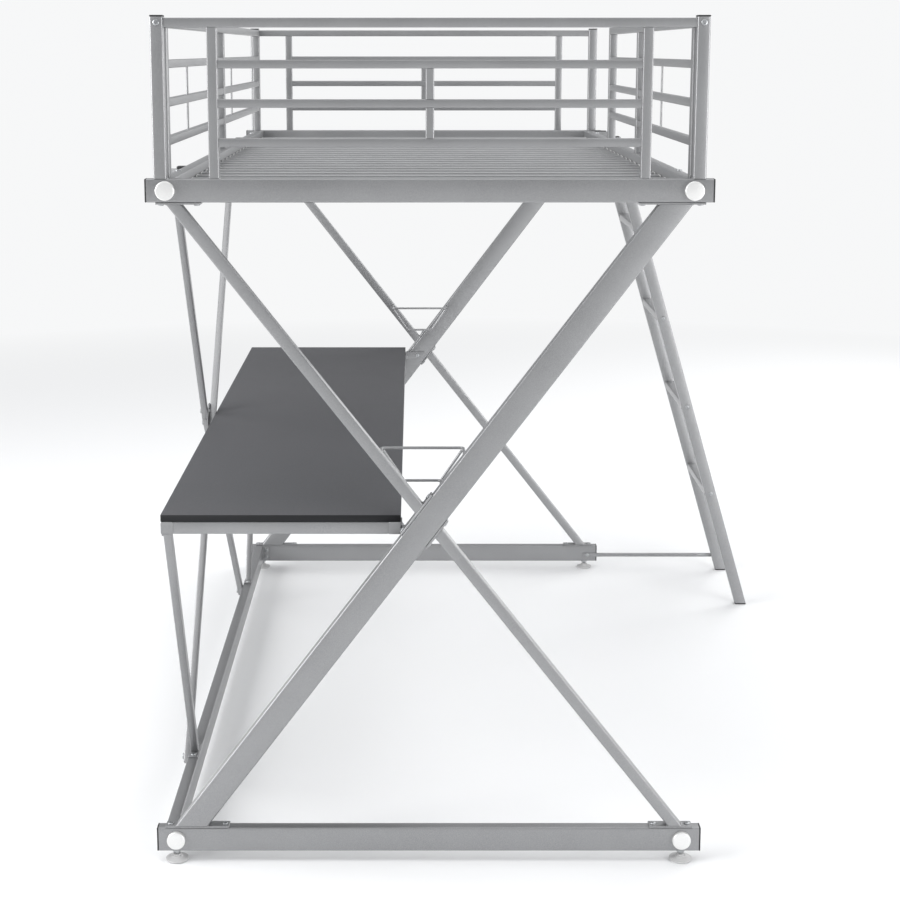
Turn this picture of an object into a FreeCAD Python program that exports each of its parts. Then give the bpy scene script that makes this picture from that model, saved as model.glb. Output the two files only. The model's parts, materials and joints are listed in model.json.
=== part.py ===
"""Twin loft bed of square steel tube with a desk hung in its two X-shaped end frames.

Frame: millimetres, +Z up, +Y along the bed from its near end to its far end, +X towards the
ladder side. The origin is on the floor, in the middle of everything the bed covers, so the
bed's own centre line is at x = bed_x. "Left" is the wall side, "right" the ladder side.
"""
import FreeCAD, Part
import math
import os
import Sketcher

DIMENSIONS = [
    # overall
    ("bed_length", 1970, "outer face of the near end frame to outer face of the far one"),
    ("bed_x", -193.98, "the bed's centre line, seen from the middle of the whole object"),
    ("post_span", 1050, "guard posts, outside to outside"),
    ("tube_wall", 1.2, "wall of every square and flat tube"),
    ("rail_depth", 25, "depth of the end frames along the bed"),
    # end frames
    ("base_rail_length", 1099, "tube without its end caps"),
    ("base_rail_bottom", 23, "gap between base rail and floor"),
    ("base_rail_tall", 50, "base rail, upright side"),
    ("bed_rail_length", 1079, "tube without its end caps"),
    ("bed_rail_bottom", 1344, "underside of the bed rails and side rails"),
    ("bed_rail_tall", 45, "bed rails and side rails, upright side"),
    ("cap_thick", 3, "plastic end cap outside the tube"),
    ("cap_plug", 6, "plastic plug inside the tube"),
    ("plate_thick", 4, "flange plates welded to the ends of the legs"),
    ("leg_wide", 52, "thick diagonal leg, across its face"),
    ("leg_low_x", -481, "thick leg's axis at the base rail"),
    ("leg_high_x", 469, "thick leg's axis at the bed rail"),
    ("leg_plate_low_x", -470, "middle of the thick leg's lower plate"),
    ("leg_plate_high_x", 461.5, "middle of the thick leg's upper plate"),
    ("leg_plate_length", 129, "thick leg's plates"),
    ("brace_wide", 23, "thin diagonal brace, both ways"),
    ("brace_high_x", -488, "thin brace's axis at the bed rail"),
    ("brace_low_x", 499, "thin brace's axis at the base rail"),
    ("brace_plate_high_x", -479, "middle of the upper brace's plate under the bed rail"),
    ("brace_plate_low_x", 491, "middle of the lower brace's plate on the base rail"),
    ("brace_plate_length", 87, "thin brace's plates"),
    ("joint_plate_high", 102, "upper brace's plate on the thick leg"),
    ("joint_plate_low", 72, "lower brace's plate on the thick leg"),
    ("joint_high_along", 4.5, "middle of the upper joint plate, along the leg from its middle"),
    ("joint_low_along", -2.9, "middle of the lower joint plate, along the leg from its middle"),
    # guards
    ("post_wide", 25, "square guard post"),
    ("post_top", 1692, "top of the guard posts, under their caps"),
    ("guard_rail_top", 1690, "top of the guards' top rails"),
    ("guard_rail_tall", 18, "guards' top rails, upright side"),
    ("guard_upright", 19, "inner uprights of the end guards"),
    ("guard_upright_x", 410, "inner uprights of the end guards, from the centre line"),
    ("infill_wide", 16, "square infill tube of the guards"),
    ("infill_low", 1457, "middle of the lowest infill tube"),
    ("infill_step", 73.5, "infill tube to infill tube"),
    ("side_guard_x", 507, "side guards, from the centre line"),
    ("side_upright", 20, "side guards' uprights, across the bed"),
    ("right_guard_end", 415, "right guard's far end; the ladder opening starts there"),
    ("wire_radius", 2.5, "upright wires of the side guards"),
    # bed deck
    ("side_rail_x", 502, "side rails, from the centre line"),
    ("ledge_wide", 22, "slat ledge along the inside of each side rail"),
    ("ledge_thick", 2, "slat ledge"),
    ("ledge_top", 1360, "top of the slat ledges"),
    ("slat_count", 23, "slats"),
    ("slat_pitch", 80, "slat to slat"),
    ("slat_wide", 30, "flat slat tube"),
    ("slat_tall", 12, "flat slat tube"),
    ("slat_wall", 1, "wall of the slat tube"),
    # desk
    ("desk_left", -535, "left edge of the desk top"),
    ("desk_right", -56.5, "right edge of the desk top"),
    ("desk_length", 1890, "desk top along the bed"),
    ("desk_top_height", 719, "upper face of the desk top"),
    ("desk_board", 15, "desk board"),
    ("desk_tube", 25, "square tube of the desk frame"),
    ("desk_leg_wide", 17, "square tube of the desk legs"),
    ("desk_leg_x", -523, "desk legs, from the centre line"),
    ("desk_leg_high_y", 927, "desk leg at the desk frame, from mid length"),
    ("desk_leg_low_y", 612, "desk leg at the stretcher, from mid length"),
    # wall side
    ("stretcher_x", -523, "stretcher, from the centre line"),
    ("side_brace_wide", 16, "square tube of the long side braces"),
    ("side_brace_y", 585, "ends of the long side braces, from mid length"),
    ("side_brace_low", 50, "lower bolt of the side braces"),
    ("side_brace_high", 1366, "upper bolt of the side braces"),
    ("side_brace_bow", 18.9, "how far the split brace stands out where it passes the other"),
    ("joint_disc_radius", 35, "round joint plate between the side braces"),
    # ladder
    ("ladder_near", 607, "near face of the near stile"),
    ("ladder_wide", 350, "outside to outside of the stiles"),
    ("ladder_foot_x", 945, "stile's axis on the floor, from the centre line"),
    ("ladder_head_x", 538.5, "stile's axis at the top of the side rail"),
    ("stile_wide", 31, "stile, square across its slant"),
    ("stile_thick", 20, "stile along the bed"),
    ("tread_low", 350, "top of the lowest tread"),
    ("tread_step", 262, "tread to tread"),
    ("tread_count", 4, "treads"),
    ("tread_deep", 30, "tread, front to back"),
    ("tread_tall", 20, "tread"),
    ("strut_radius", 6, "round strut from the base rail to the ladder"),
    ("strut_height", 44, "strut above the floor"),
    # wire racks
    ("rack_wire", 3, "radius of the rack's wire"),
    ("rack_offset", 76, "rack behind the end frame's outer face"),
    ("rack_high", 847, "upper wire"),
    ("rack_low", 780, "lower wire"),
    ("rack_high_half", 82, "half length of the upper wire"),
    ("rack_low_half", 37, "half length of the lower wire"),
    ("rack_x", -13, "middle of the rack, from the centre line"),
    # hardware
    ("disc_radius", 18.5, "round cover cap over a rail bolt"),
    ("disc_tall", 10, "cover cap"),
    ("disc_inset", 36.5, "cover cap's middle from the end of the tube"),
    ("rail_bolt_radius", 4, "rail bolts"),
    ("rail_bolt_head", 8, "radius of a rail bolt's head"),
    ("screw_radius", 3, "plate screws"),
    ("screw_head", 6, "radius of a plate screw's head"),
    ("screw_head_tall", 3, "plate screw's head"),
    ("hole_play", 0.25, "play round a screw or bolt"),
    ("stem_play", 0.08, "play round a foot's threaded stem"),
    ("foot_radius", 23, "pad of a levelling foot"),
    ("foot_neck", 7.5, "radius of the pad's neck"),
    ("foot_tall", 13, "pad with its neck"),
    ("foot_inset", 35.5, "foot's axis from the end of the base rail tube"),
    ("stem_radius", 4, "threaded stem of a foot"),
    ("stem_top", 40, "top of the stem, screwed right in"),
    ("stem_seat", 5, "bottom of the stem in its pad"),
    ("nut_radius", 9.5, "lock nut under the base rail"),
    ("nut_tall", 5, "lock nut"),
    ("insert_radius", 8, "threaded insert inside the base rail"),
    ("insert_tall", 10, "threaded insert"),
]

doc = FreeCAD.newDocument("LoftBed")
sheet = doc.addObject("Spreadsheet::Sheet", "Sizes")
for row, (alias, value, note) in enumerate(DIMENSIONS, start=1):
    sheet.set(f"A{row}", note)
    sheet.set(f"B{row}", str(value))
    sheet.setAlias(f"B{row}", alias)
doc.recompute()


class Dim:
    """A length with the spreadsheet formula that it comes from."""

    def __init__(self, value, text=None):
        self.value = float(value)
        self.text = text or f"({self.value!r})"

    def __add__(self, other):
        other = dim(other)
        return Dim(self.value + other.value, f"({self.text} + {other.text})")

    def __sub__(self, other):
        other = dim(other)
        return Dim(self.value - other.value, f"({self.text} - {other.text})")

    def __mul__(self, other):
        other = dim(other)
        return Dim(self.value * other.value, f"({self.text} * {other.text})")

    def __truediv__(self, other):
        other = dim(other)
        return Dim(self.value / other.value, f"({self.text} / {other.text})")

    def __radd__(self, other):
        return dim(other) + self

    def __rsub__(self, other):
        return dim(other) - self

    def __rmul__(self, other):
        return dim(other) * self

    def __neg__(self):
        return Dim(-self.value, f"(0 - {self.text})")


def dim(thing):
    return thing if isinstance(thing, Dim) else Dim(thing)


def hypot(*sides):
    """Length of the diagonal over two or three perpendicular sides."""
    value = math.sqrt(sum(dim(side).value ** 2 for side in sides))
    return Dim(value, "sqrt(" + " + ".join(f"{dim(side).text}^2" for side in sides) + ")")


class Cells:
    """Each cell of the sheet as a Dim, by its alias."""

    def __getattr__(self, alias):
        return Dim(sheet.get(alias), f"Sizes.{alias}")


mm = Cells()
X, Y, Z = (FreeCAD.Vector(*axis) for axis in ((1, 0, 0), (0, 1, 0), (0, 0, 1)))
NODES = []
half_length = mm.bed_length / 2
base_rail_top = mm.base_rail_bottom + mm.base_rail_tall
bed_rail_top = mm.bed_rail_bottom + mm.bed_rail_tall
leg_bottom = base_rail_top + mm.plate_thick
leg_top = mm.bed_rail_bottom - mm.plate_thick


# ---------------------------------------------------------------- building blocks
def bind(item, prop, size):
    item.setExpression(prop, dim(size).text)


def put(item, x, y, z, turn=None):
    """Places an object at a point given from the bed's centre line, mid length and floor."""
    item.Placement = FreeCAD.Placement(FreeCAD.Vector(), turn or FreeCAD.Rotation())
    for prop, value in (("x", mm.bed_x + x), ("y", y), ("z", z)):
        bind(item, f"Placement.Base.{prop}", value)
    return item


def box(name, size, corner):
    """Box with its lowest corner at the point given."""
    item = doc.addObject("Part::Box", name)
    for prop, value in zip(("Length", "Width", "Height"), size):
        bind(item, prop, value)
    return put(item, *corner)


def minus(name, base, tool):
    item = doc.addObject("Part::Cut", name)
    item.Base, item.Tool = base, tool
    return item


def group(name, items):
    item = doc.addObject("Part::Compound", name)
    item.Links = items
    return item


def node(label, *items):
    """Names one sub-part: a single object, or several closed solids that are welded together."""
    item = items[0] if len(items) == 1 else group(label, list(items))
    item.Label = label
    NODES.append(item)
    return item


def tube(name, size, corner, along, wall=None):
    """Square or flat tube, open at both ends, with its length along axis 0, 1 or 2."""
    wall = wall or mm.tube_wall
    outer = box(name + "_outer", size, corner)
    bore = [value if i == along else value - 2 * wall for i, value in enumerate(size)]
    start = [value if i == along else value + wall for i, value in enumerate(corner)]
    return minus(name + "_tube", outer, box(name + "_bore", bore, start))


def cylinder(name, radius, length, start, direction):
    item = doc.addObject("Part::Cylinder", name)
    bind(item, "Radius", radius)
    bind(item, "Height", length)
    return put(item, *start, turn=FreeCAD.Rotation(Z, FreeCAD.Vector(*direction)))


def end_block(name, size, corner, hole):
    """Threaded block that fills the end of a tube, drilled for a screw."""
    return minus(name + "_tapped", box(name, size, corner), hole)


def drilled(name, item, cutters):
    return minus(name, item, group(name + "_drills", cutters))


def screw_hole(name, start, into, radius=None, depth=9):
    """Cutter for one screw: it starts a little outside the surface that the head sits on."""
    outside = [a - b for a, b in zip(start, into)]
    radius = (radius or mm.screw_radius) + mm.hole_play
    return cylinder(name, radius, dim(depth) + 1, outside, into)


def screw(name, start, into, length=14, radius=None, head=None, head_tall=None):
    """Screw or bolt: a head outside the surface point `start` and a shank going in."""
    head_tall = head_tall or mm.screw_head_tall
    top = [a - b * head_tall for a, b in zip(start, into)]
    cap = cylinder(name + "_head", head or mm.screw_head, head_tall, top, into)
    shank = cylinder(name + "_shank", radius or mm.screw_radius, length, start, into)
    item = doc.addObject("Part::Fuse", name)
    item.Base, item.Tool = cap, shank
    return item


def plane_of(body, role):
    return next(item for item in body.Origin.OriginFeatures if item.Role == role)


def sketch_of(body, name, role, points):
    """Closed outline of straight lines whose corners are tied to the sheet."""
    sketch = body.newObject("Sketcher::SketchObject", name)
    sketch.AttachmentSupport = (plane_of(body, role), [""])
    sketch.MapMode = "FlatFace"
    corners = [FreeCAD.Vector(dim(a).value, dim(b).value, 0) for a, b in points]
    for i, corner in enumerate(corners):
        sketch.addGeometry(Part.LineSegment(corner, corners[(i + 1) % len(corners)]), False)
    for i in range(len(corners)):
        sketch.addConstraint(
            Sketcher.Constraint("Coincident", i, 2, (i + 1) % len(corners), 1))
    for i, point in enumerate(points):
        for kind, axis, size in (("DistanceX", -2, dim(point[0])), ("DistanceY", -1, dim(point[1]))):
            if abs(size.value) < 1e-9:
                sketch.addConstraint(Sketcher.Constraint("PointOnObject", i, 1, axis))
                continue
            ends = (-1, 1, i, 1) if size.value > 0 else (i, 1, -1, 1)
            length = size if size.value > 0 else -size
            index = sketch.addConstraint(Sketcher.Constraint(kind, *ends, length.value))
            sketch.setExpression(f"Constraints[{index}]", length.text)
    return sketch


def padded(name, role, points, thick):
    """Body: an outline in one of the body's own planes, padded half its thickness each way."""
    body = doc.addObject("PartDesign::Body", name)
    pad = body.newObject("PartDesign::Pad", name + "_pad")
    pad.Profile = sketch_of(body, name + "_outline", role, points)
    pad.SideType = "Symmetric"
    bind(pad, "Length", thick)
    return body


def turned(name, points):
    """Body of revolution about its own Z axis; the outline is radius and height."""
    body = doc.addObject("PartDesign::Body", name)
    sketch = sketch_of(body, name + "_profile", "XZ_Plane", points)
    spin = body.newObject("PartDesign::Revolution", name + "_turn")
    spin.Profile = sketch
    spin.ReferenceAxis = (sketch, ["V_Axis"])
    spin.Angle = 360
    return body


def slanted_tube(name, role, low, high, wide, deep, middle, wall=None):
    """Slanted tube with level ends. low and high are the axis's ends in the plane's two axes.

    middle is the tube's place along the plane's normal.
    """
    wall = wall or mm.tube_wall
    run, rise = high[0] - low[0], high[1] - low[1]
    level = hypot(run, rise) / rise
    bodies = []
    for suffix, half, thick, over in (("_outer", wide / 2, deep, 0),
                                      ("_bore", wide / 2 - wall, deep - 2 * wall, 1)):
        side = half * level
        slip = dim(over) * run / rise
        ends = ((low[0] - slip, low[1] - over), (high[0] + slip, high[1] + over))
        points = [(ends[0][0] - side, ends[0][1]), (ends[0][0] + side, ends[0][1]),
                  (ends[1][0] + side, ends[1][1]), (ends[1][0] - side, ends[1][1])]
        body = padded(name + suffix, role, points, thick)
        place = (0, middle, 0) if role == "XZ_Plane" else (middle, 0, 0)
        bodies.append(put(body, *place))
    return minus(name + "_tube", *bodies)


def plug_cap(name, tube_size, end, outward, along):
    """Plastic cap on a tube's open end: a plate outside and a plug inside the tube.

    tube_size and end hold the tube's section and the lowest corner of its end face.
    """
    plate_size, plate_at, plug_size, plug_at = [], [], [], []
    inset = mm.tube_wall + 0.1
    for i in range(3):
        if i == along:
            plate_size.append(mm.cap_thick)
            plug_size.append(mm.cap_plug)
            plate_at.append(end[i] if outward > 0 else end[i] - mm.cap_thick)
            plug_at.append(end[i] - mm.cap_plug if outward > 0 else dim(end[i]))
        else:
            plate_size.append(tube_size[i])
            plug_size.append(tube_size[i] - 2 * inset)
            plate_at.append(end[i])
            plug_at.append(end[i] + inset)
    item = doc.addObject("Part::Fuse", name)
    item.Base = box(name + "_plate", plate_size, plate_at)
    item.Tool = box(name + "_plug", plug_size, plug_at)
    return item


# ---------------------------------------------------------------- where the ends are
def end_low(side, inset, deep):
    """Lowest y of a piece `deep` long that starts `inset` inside the near (-1) or far (1) face."""
    return -half_length + inset if side < 0 else half_length - inset - deep


ENDS = (("near", -1), ("far", 1))
SIDES = (("left", -1), ("right", 1))
foot_x = mm.base_rail_length / 2 - mm.foot_inset
base_bolt_x = mm.base_rail_length / 2 - mm.disc_inset
bed_bolt_x = mm.bed_rail_length / 2 - mm.disc_inset
base_bolt_z = mm.base_rail_bottom + mm.base_rail_tall / 2
bed_bolt_z = mm.bed_rail_bottom + mm.bed_rail_tall / 2
screw_inset = 9


# ---------------------------------------------------------------- levelling feet
def levelling_foot(label, x, y):
    """Pad and threaded stem, modelled screwed right in."""
    rim = 4
    play = mm.stem_play
    pad = turned(label + "_pad_body", [
        (0, 0), (mm.foot_radius - 2, 0), (mm.foot_radius, 2), (mm.foot_radius, rim),
        (mm.foot_neck + 3, mm.foot_tall - 3), (mm.foot_neck, mm.foot_tall),
        (mm.stem_radius + play, mm.foot_tall), (mm.stem_radius + play, mm.stem_seat - play),
        (0, mm.stem_seat - play)])
    node(label + "_pad", put(pad, x, y, 0))
    node(label + "_stem", cylinder(label + "_stem_rod", mm.stem_radius,
                                   mm.stem_top - mm.stem_seat, (x, y, mm.stem_seat), Z))


def ring(name, outer, tall, x, y, z):
    """Ring round a foot's stem, with running play."""
    bore = mm.stem_radius + mm.stem_play
    disc = cylinder(name + "_disc", outer, tall, (x, y, z), Z)
    return minus(name, disc, cylinder(name + "_hole", bore, tall, (x, y, z), Z))


nuts, inserts = [], []
for end, side in ENDS:
    for hand, sign in SIDES:
        spot = (sign * foot_x, side * (half_length - mm.rail_depth / 2))
        levelling_foot(f"{end}_{hand}_foot", *spot)
        nuts.append(ring(f"{end}_{hand}_nut", mm.nut_radius, mm.nut_tall, *spot,
                         mm.base_rail_bottom - mm.nut_tall))
        inserts.append(ring(f"{end}_{hand}_insert", mm.insert_radius, mm.insert_tall, *spot,
                            mm.base_rail_bottom + mm.tube_wall))
node("foot_lock_nuts", *nuts)
node("foot_inserts", *inserts)


# ---------------------------------------------------------------- end frames
leg_run = mm.leg_high_x - mm.leg_low_x
leg_rise = leg_top - leg_bottom
leg_slope = leg_rise / leg_run
leg_long = hypot(leg_run, leg_rise)
leg_turn = FreeCAD.Rotation(Y, -math.degrees(math.atan2(leg_rise.value, leg_run.value)))
brace_run = mm.brace_low_x - mm.brace_high_x
brace_slope = -leg_rise / brace_run


def on_leg(z):
    """The thick leg's axis at a height."""
    return mm.leg_low_x + (z - leg_bottom) / leg_slope


def on_brace(z):
    """The thin brace's axis at a height."""
    return mm.brace_high_x + (z - leg_top) / brace_slope


def plate_screws(middle, length):
    half = length / 2 - screw_inset
    return (middle - half, middle + half)


def leg_frame_point(along, out):
    """Point in the end frame's plane: along the thick leg from its middle, and out to its upper left."""
    middle_x, middle_z = (mm.leg_low_x + mm.leg_high_x) / 2, (leg_bottom + leg_top) / 2
    x = middle_x + along * leg_run / leg_long - out * leg_rise / leg_long
    z = middle_z + along * leg_rise / leg_long + out * leg_run / leg_long
    return x, z


def brace_half(end, name, y, upper):
    """One half of the thin brace: it ends in a plate on the leg and in one on a rail."""
    out = mm.leg_wide / 2 + mm.plate_thick
    sign = 1 if upper else -1
    level = hypot(brace_run, leg_rise) / leg_rise
    corners = {}
    for wall, key in ((dim(0), "outer"), (mm.tube_wall, "bore")):
        half = (mm.brace_wide / 2 - wall) * level
        over = 0 if key == "outer" else 1
        rail_z = leg_top + over if upper else leg_bottom - over
        # the leg's face, as a line of the same slope as the leg
        edge_x, edge_z = leg_frame_point(dim(0), sign * (out - over))
        points = []
        for shift in (-half, half):
            # brace edge x = high_x + shift + (z - leg_top) / brace_slope meets that line
            offset = mm.brace_high_x + shift - leg_top / brace_slope
            meet_z = ((edge_z + (offset - edge_x) * leg_slope)
                      / (1 - leg_slope / brace_slope))
            points.append((offset + meet_z / brace_slope, meet_z))
        rail = on_brace(rail_z)
        points += [(rail + half, rail_z), (rail - half, rail_z)]
        deep = mm.brace_wide - 2 * wall
        corners[key] = put(padded(f"{name}_{key}", "XZ_Plane", points, deep), 0, y, 0)
    return minus(name + "_tube", corners["outer"], corners["bore"])


def leg_face_plate(name, length, along, sign, low_y):
    """Flange plate lying on the thick leg's upper-left (1) or lower-right (-1) face."""
    item = doc.addObject("Part::Box", name)
    for prop, size in (("Length", length), ("Width", mm.rail_depth), ("Height", mm.plate_thick)):
        bind(item, prop, size)
    face = mm.leg_wide / 2
    x, z = leg_frame_point(along - length / 2, face if sign > 0 else -face - mm.plate_thick)
    return put(item, x, low_y, z, turn=leg_turn)


frame_screws = []


def end_frame(end, side):
    """Base rail, bed rail, thick leg, the two halves of the thin brace and their screws."""
    low_y = end_low(side, 0, mm.rail_depth)
    mid_y = side * (half_length - mm.rail_depth / 2)
    face_y = side * half_length
    inward = (0, -side, 0)

    # screws through the plates: (x, z, into)
    drills = {}
    for key, middle, length, z, into in (
            ("leg_low", mm.leg_plate_low_x, mm.leg_plate_length, leg_bottom, -1),
            ("brace_low", mm.brace_plate_low_x, mm.brace_plate_length, leg_bottom, -1),
            ("leg_high", mm.leg_plate_high_x, mm.leg_plate_length, leg_top, 1),
            ("brace_high", mm.brace_plate_high_x, mm.brace_plate_length, leg_top, 1)):
        drills[key] = []
        for i, x in enumerate(plate_screws(middle, length)):
            name = f"{end}_{key}_screw{i}"
            drills[key].append(screw_hole(name + "_hole", (x, mid_y, z), (0, 0, into)))
            frame_screws.append(screw(name, (x, mid_y, z), (0, 0, into)))

    # screws through the joint plates into the thick leg
    for key, along, length, sign in (("joint_high", mm.joint_high_along, mm.joint_plate_high, 1),
                                     ("joint_low", mm.joint_low_along, mm.joint_plate_low, -1)):
        drills[key] = []
        inwards = (sign * leg_rise.value / leg_long.value, 0, -sign * leg_run.value / leg_long.value)
        for i, step in enumerate(plate_screws(along, length)):
            x, z = leg_frame_point(step, sign * (mm.leg_wide / 2 + mm.plate_thick))
            name = f"{end}_{key}_screw{i}"
            drills[key].append(screw_hole(name + "_hole", (x, mid_y, z), inwards))
            frame_screws.append(screw(name, (x, mid_y, z), inwards))
    joint_drills = drills["joint_high"] + drills["joint_low"] + [
        screw_hole(f"{end}_strap_leg_hole", (strap_leg_x, side * (half_length - mm.rail_depth),
                                             desk_middle_z), (0, side, 0), None, 6)]

    # base rail: holes for the feet, the plate screws and the cover caps' bolts
    rail = tube(f"{end}_base_rail_body", (mm.base_rail_length, mm.rail_depth, mm.base_rail_tall),
                (-mm.base_rail_length / 2, low_y, mm.base_rail_bottom), 0)
    cutters = drills["leg_low"] + drills["brace_low"]
    for hand, sign in SIDES:
        cutters.append(cylinder(f"{end}_{hand}_stem_hole", mm.stem_radius + mm.hole_play,
                                mm.tube_wall + 1,
                                (sign * foot_x, mid_y, mm.base_rail_bottom - 0.5), Z))
        cutters.append(screw_hole(f"{end}_{hand}_base_bolt_hole",
                                  (sign * base_bolt_x, face_y, base_bolt_z), inward,
                                  mm.rail_bolt_radius, 9))
    if end == "far":
        cutters.append(screw_hole("strut_hole", (strut_rail_x, half_length - mm.rail_depth - 3,
                                                 mm.strut_height), (0, 1, 0), None, 6))
    for i, z in enumerate(stretcher_screw_z):
        cutters.append(screw_hole(f"{end}_stretcher_hole{i}",
                                  (stretcher_screw_x, side * (half_length - mm.rail_depth - 3), z),
                                  (0, side, 0), None, 6))
    node(f"{end}_base_rail", drilled(f"{end}_base_rail_cut", rail, cutters))

    # bed rail
    rail = tube(f"{end}_bed_rail_body", (mm.bed_rail_length, mm.rail_depth, mm.bed_rail_tall),
                (-mm.bed_rail_length / 2, low_y, mm.bed_rail_bottom), 0)
    cutters = drills["leg_high"] + drills["brace_high"]
    for hand, sign in SIDES:
        cutters.append(screw_hole(f"{end}_{hand}_bed_bolt_hole",
                                  (sign * bed_bolt_x, face_y, bed_bolt_z), inward,
                                  mm.rail_bolt_radius, mm.rail_depth + 2))
    node(f"{end}_bed_rail", drilled(f"{end}_bed_rail_cut", rail, cutters))

    # thick leg with a plate at each end
    leg = slanted_tube(f"{end}_leg_body", "XZ_Plane", (mm.leg_low_x, leg_bottom),
                       (mm.leg_high_x, leg_top), mm.leg_wide, mm.rail_depth, mid_y)
    plate = (mm.leg_plate_length, mm.rail_depth, mm.plate_thick)
    low = box(f"{end}_leg_low_plate", plate,
              (mm.leg_plate_low_x - mm.leg_plate_length / 2, low_y, base_rail_top))
    high = box(f"{end}_leg_high_plate", plate,
               (mm.leg_plate_high_x - mm.leg_plate_length / 2, low_y, leg_top))
    node(f"{end}_thick_leg", drilled(f"{end}_leg_cut", leg, joint_drills),
         drilled(f"{end}_leg_low_cut", low, drills["leg_low"]),
         drilled(f"{end}_leg_high_cut", high, drills["leg_high"]))

    # thin brace, split where it meets the leg
    plate = (mm.brace_plate_length, mm.rail_depth, mm.plate_thick)
    high = box(f"{end}_brace_high_plate", plate,
               (mm.brace_plate_high_x - mm.brace_plate_length / 2, low_y, leg_top))
    low = box(f"{end}_brace_low_plate", plate,
              (mm.brace_plate_low_x - mm.brace_plate_length / 2, low_y, base_rail_top))
    joint = leg_face_plate(f"{end}_joint_high", mm.joint_plate_high, mm.joint_high_along, 1, low_y)
    node(f"{end}_upper_brace", brace_half(end, f"{end}_upper_brace_body", mid_y, True),
         drilled(f"{end}_brace_high_cut", high, drills["brace_high"]),
         drilled(f"{end}_joint_high_cut", joint, drills["joint_high"]))
    joint = leg_face_plate(f"{end}_joint_low", mm.joint_plate_low, mm.joint_low_along, -1, low_y)
    node(f"{end}_lower_brace", brace_half(end, f"{end}_lower_brace_body", mid_y, False),
         drilled(f"{end}_brace_low_cut", low, drills["brace_low"]),
         drilled(f"{end}_joint_low_cut", joint, drills["joint_low"]))


strap_leg_x = -19
desk_middle_z = mm.desk_top_height - mm.desk_board - mm.desk_tube / 2
strut_rail_x = mm.base_rail_length / 2 - 27
stretcher_screw_x = mm.stretcher_x + mm.rail_depth / 2 + 9
stretcher_screw_z = (base_bolt_z - 10, base_bolt_z + 11)
for end, side in ENDS:
    end_frame(end, side)
node("frame_screws", *frame_screws)

caps = []
for end, side in ENDS:
    low_y = end_low(side, 0, mm.rail_depth)
    for hand, sign in SIDES:
        caps.append(plug_cap(f"{end}_{hand}_base_cap",
                             (0, mm.rail_depth, mm.base_rail_tall),
                             (sign * mm.base_rail_length / 2, low_y, mm.base_rail_bottom),
                             sign, 0))
for end, side in ENDS:
    low_y = end_low(side, 0, mm.rail_depth)
    for hand, sign in SIDES:
        caps.append(plug_cap(f"{end}_{hand}_bed_cap",
                             (0, mm.rail_depth, mm.bed_rail_tall),
                             (sign * mm.bed_rail_length / 2, low_y, mm.bed_rail_bottom),
                             sign, 0))
node("rail_end_caps", *caps)


# ---------------------------------------------------------------- cover caps and rail bolts
def cover_cap(name, x, face_y, z, side):
    """Slightly domed round cap over a bolt's head, hollow inside."""
    room = mm.rail_bolt_head + 1
    body = turned(name, [
        (room, 0), (mm.disc_radius, 0), (mm.disc_radius, mm.disc_tall - 2.5),
        (mm.disc_radius - 1.5, mm.disc_tall - 0.8), (mm.disc_radius - 6, mm.disc_tall),
        (0, mm.disc_tall), (0, mm.disc_tall - 2), (room, mm.disc_tall - 2)])
    return put(body, x, face_y, z, turn=FreeCAD.Rotation(Z, FreeCAD.Vector(0, side, 0)))


bolt_head_tall = 6
covers, bolts = [], []
for end, side in ENDS:
    for hand, sign in SIDES:
        for rail, x, z in (("base", base_bolt_x, base_bolt_z), ("bed", bed_bolt_x, bed_bolt_z)):
            name = f"{end}_{hand}_{rail}"
            covers.append(cover_cap(name + "_cover", sign * x, side * half_length, z, side))
            length = mm.rail_depth + 30 if rail == "bed" else 18
            bolts.append(screw(name + "_bolt", (sign * x, side * half_length, z), (0, -side, 0),
                               length, mm.rail_bolt_radius, mm.rail_bolt_head,
                               dim(bolt_head_tall)))
node("cover_caps", *covers)
node("rail_bolts", *bolts)


# ---------------------------------------------------------------- side rails, slats
deck_length = mm.bed_length - 2 * mm.rail_depth
side_bolt_y = half_length - 219


def side_rail(hand, sign):
    """Side rail tube with a slat ledge welded along its inner face."""
    low_x = sign * mm.side_rail_x - mm.rail_depth / 2
    rail = tube(f"{hand}_side_rail_body", (mm.rail_depth, deck_length, mm.bed_rail_tall),
                (low_x, -deck_length / 2, mm.bed_rail_bottom), 1)
    inner = sign * (mm.side_rail_x - mm.rail_depth / 2)
    ledge = box(f"{hand}_ledge", (mm.ledge_wide, deck_length, mm.ledge_thick),
                (inner if sign < 0 else inner - mm.ledge_wide, -deck_length / 2,
                 mm.ledge_top - mm.ledge_thick))
    cutters = [screw_hole(f"{hand}_deck_hole{i}",
                          (sign * (mm.side_rail_x + 6), y, bed_rail_top), (0, 0, -1), None, 6)
               for i, y in enumerate((-side_bolt_y, side_bolt_y))]
    outer = sign * (mm.side_rail_x + mm.rail_depth / 2)
    if hand == "left":
        cutters += [screw_hole(f"{hand}_brace_hole{i}", (outer, y, mm.side_brace_high),
                               (1, 0, 0), None, 6)
                    for i, y in enumerate((-mm.side_brace_y, mm.side_brace_y))]
    else:
        cutters += [screw_hole(f"{hand}_ladder_hole{i}", (outer, y, bed_bolt_z),
                               (-1, 0, 0), None, 6)
                    for i, y in enumerate(ladder_hook_y)]
    wall = mm.tube_wall + mm.hole_play
    spigots = [box(f"{hand}_spigot{i}",
                   (mm.side_upright - 2 * wall, mm.post_wide - 2 * wall, 25),
                   (sign * mm.side_guard_x - mm.side_upright / 2 + wall, y + wall, bed_rail_top))
               for i, y in enumerate(GUARD_UPRIGHTS[hand])]
    node(f"{hand}_side_rail", drilled(f"{hand}_side_rail_cut", rail, cutters), ledge, *spigots)


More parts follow.
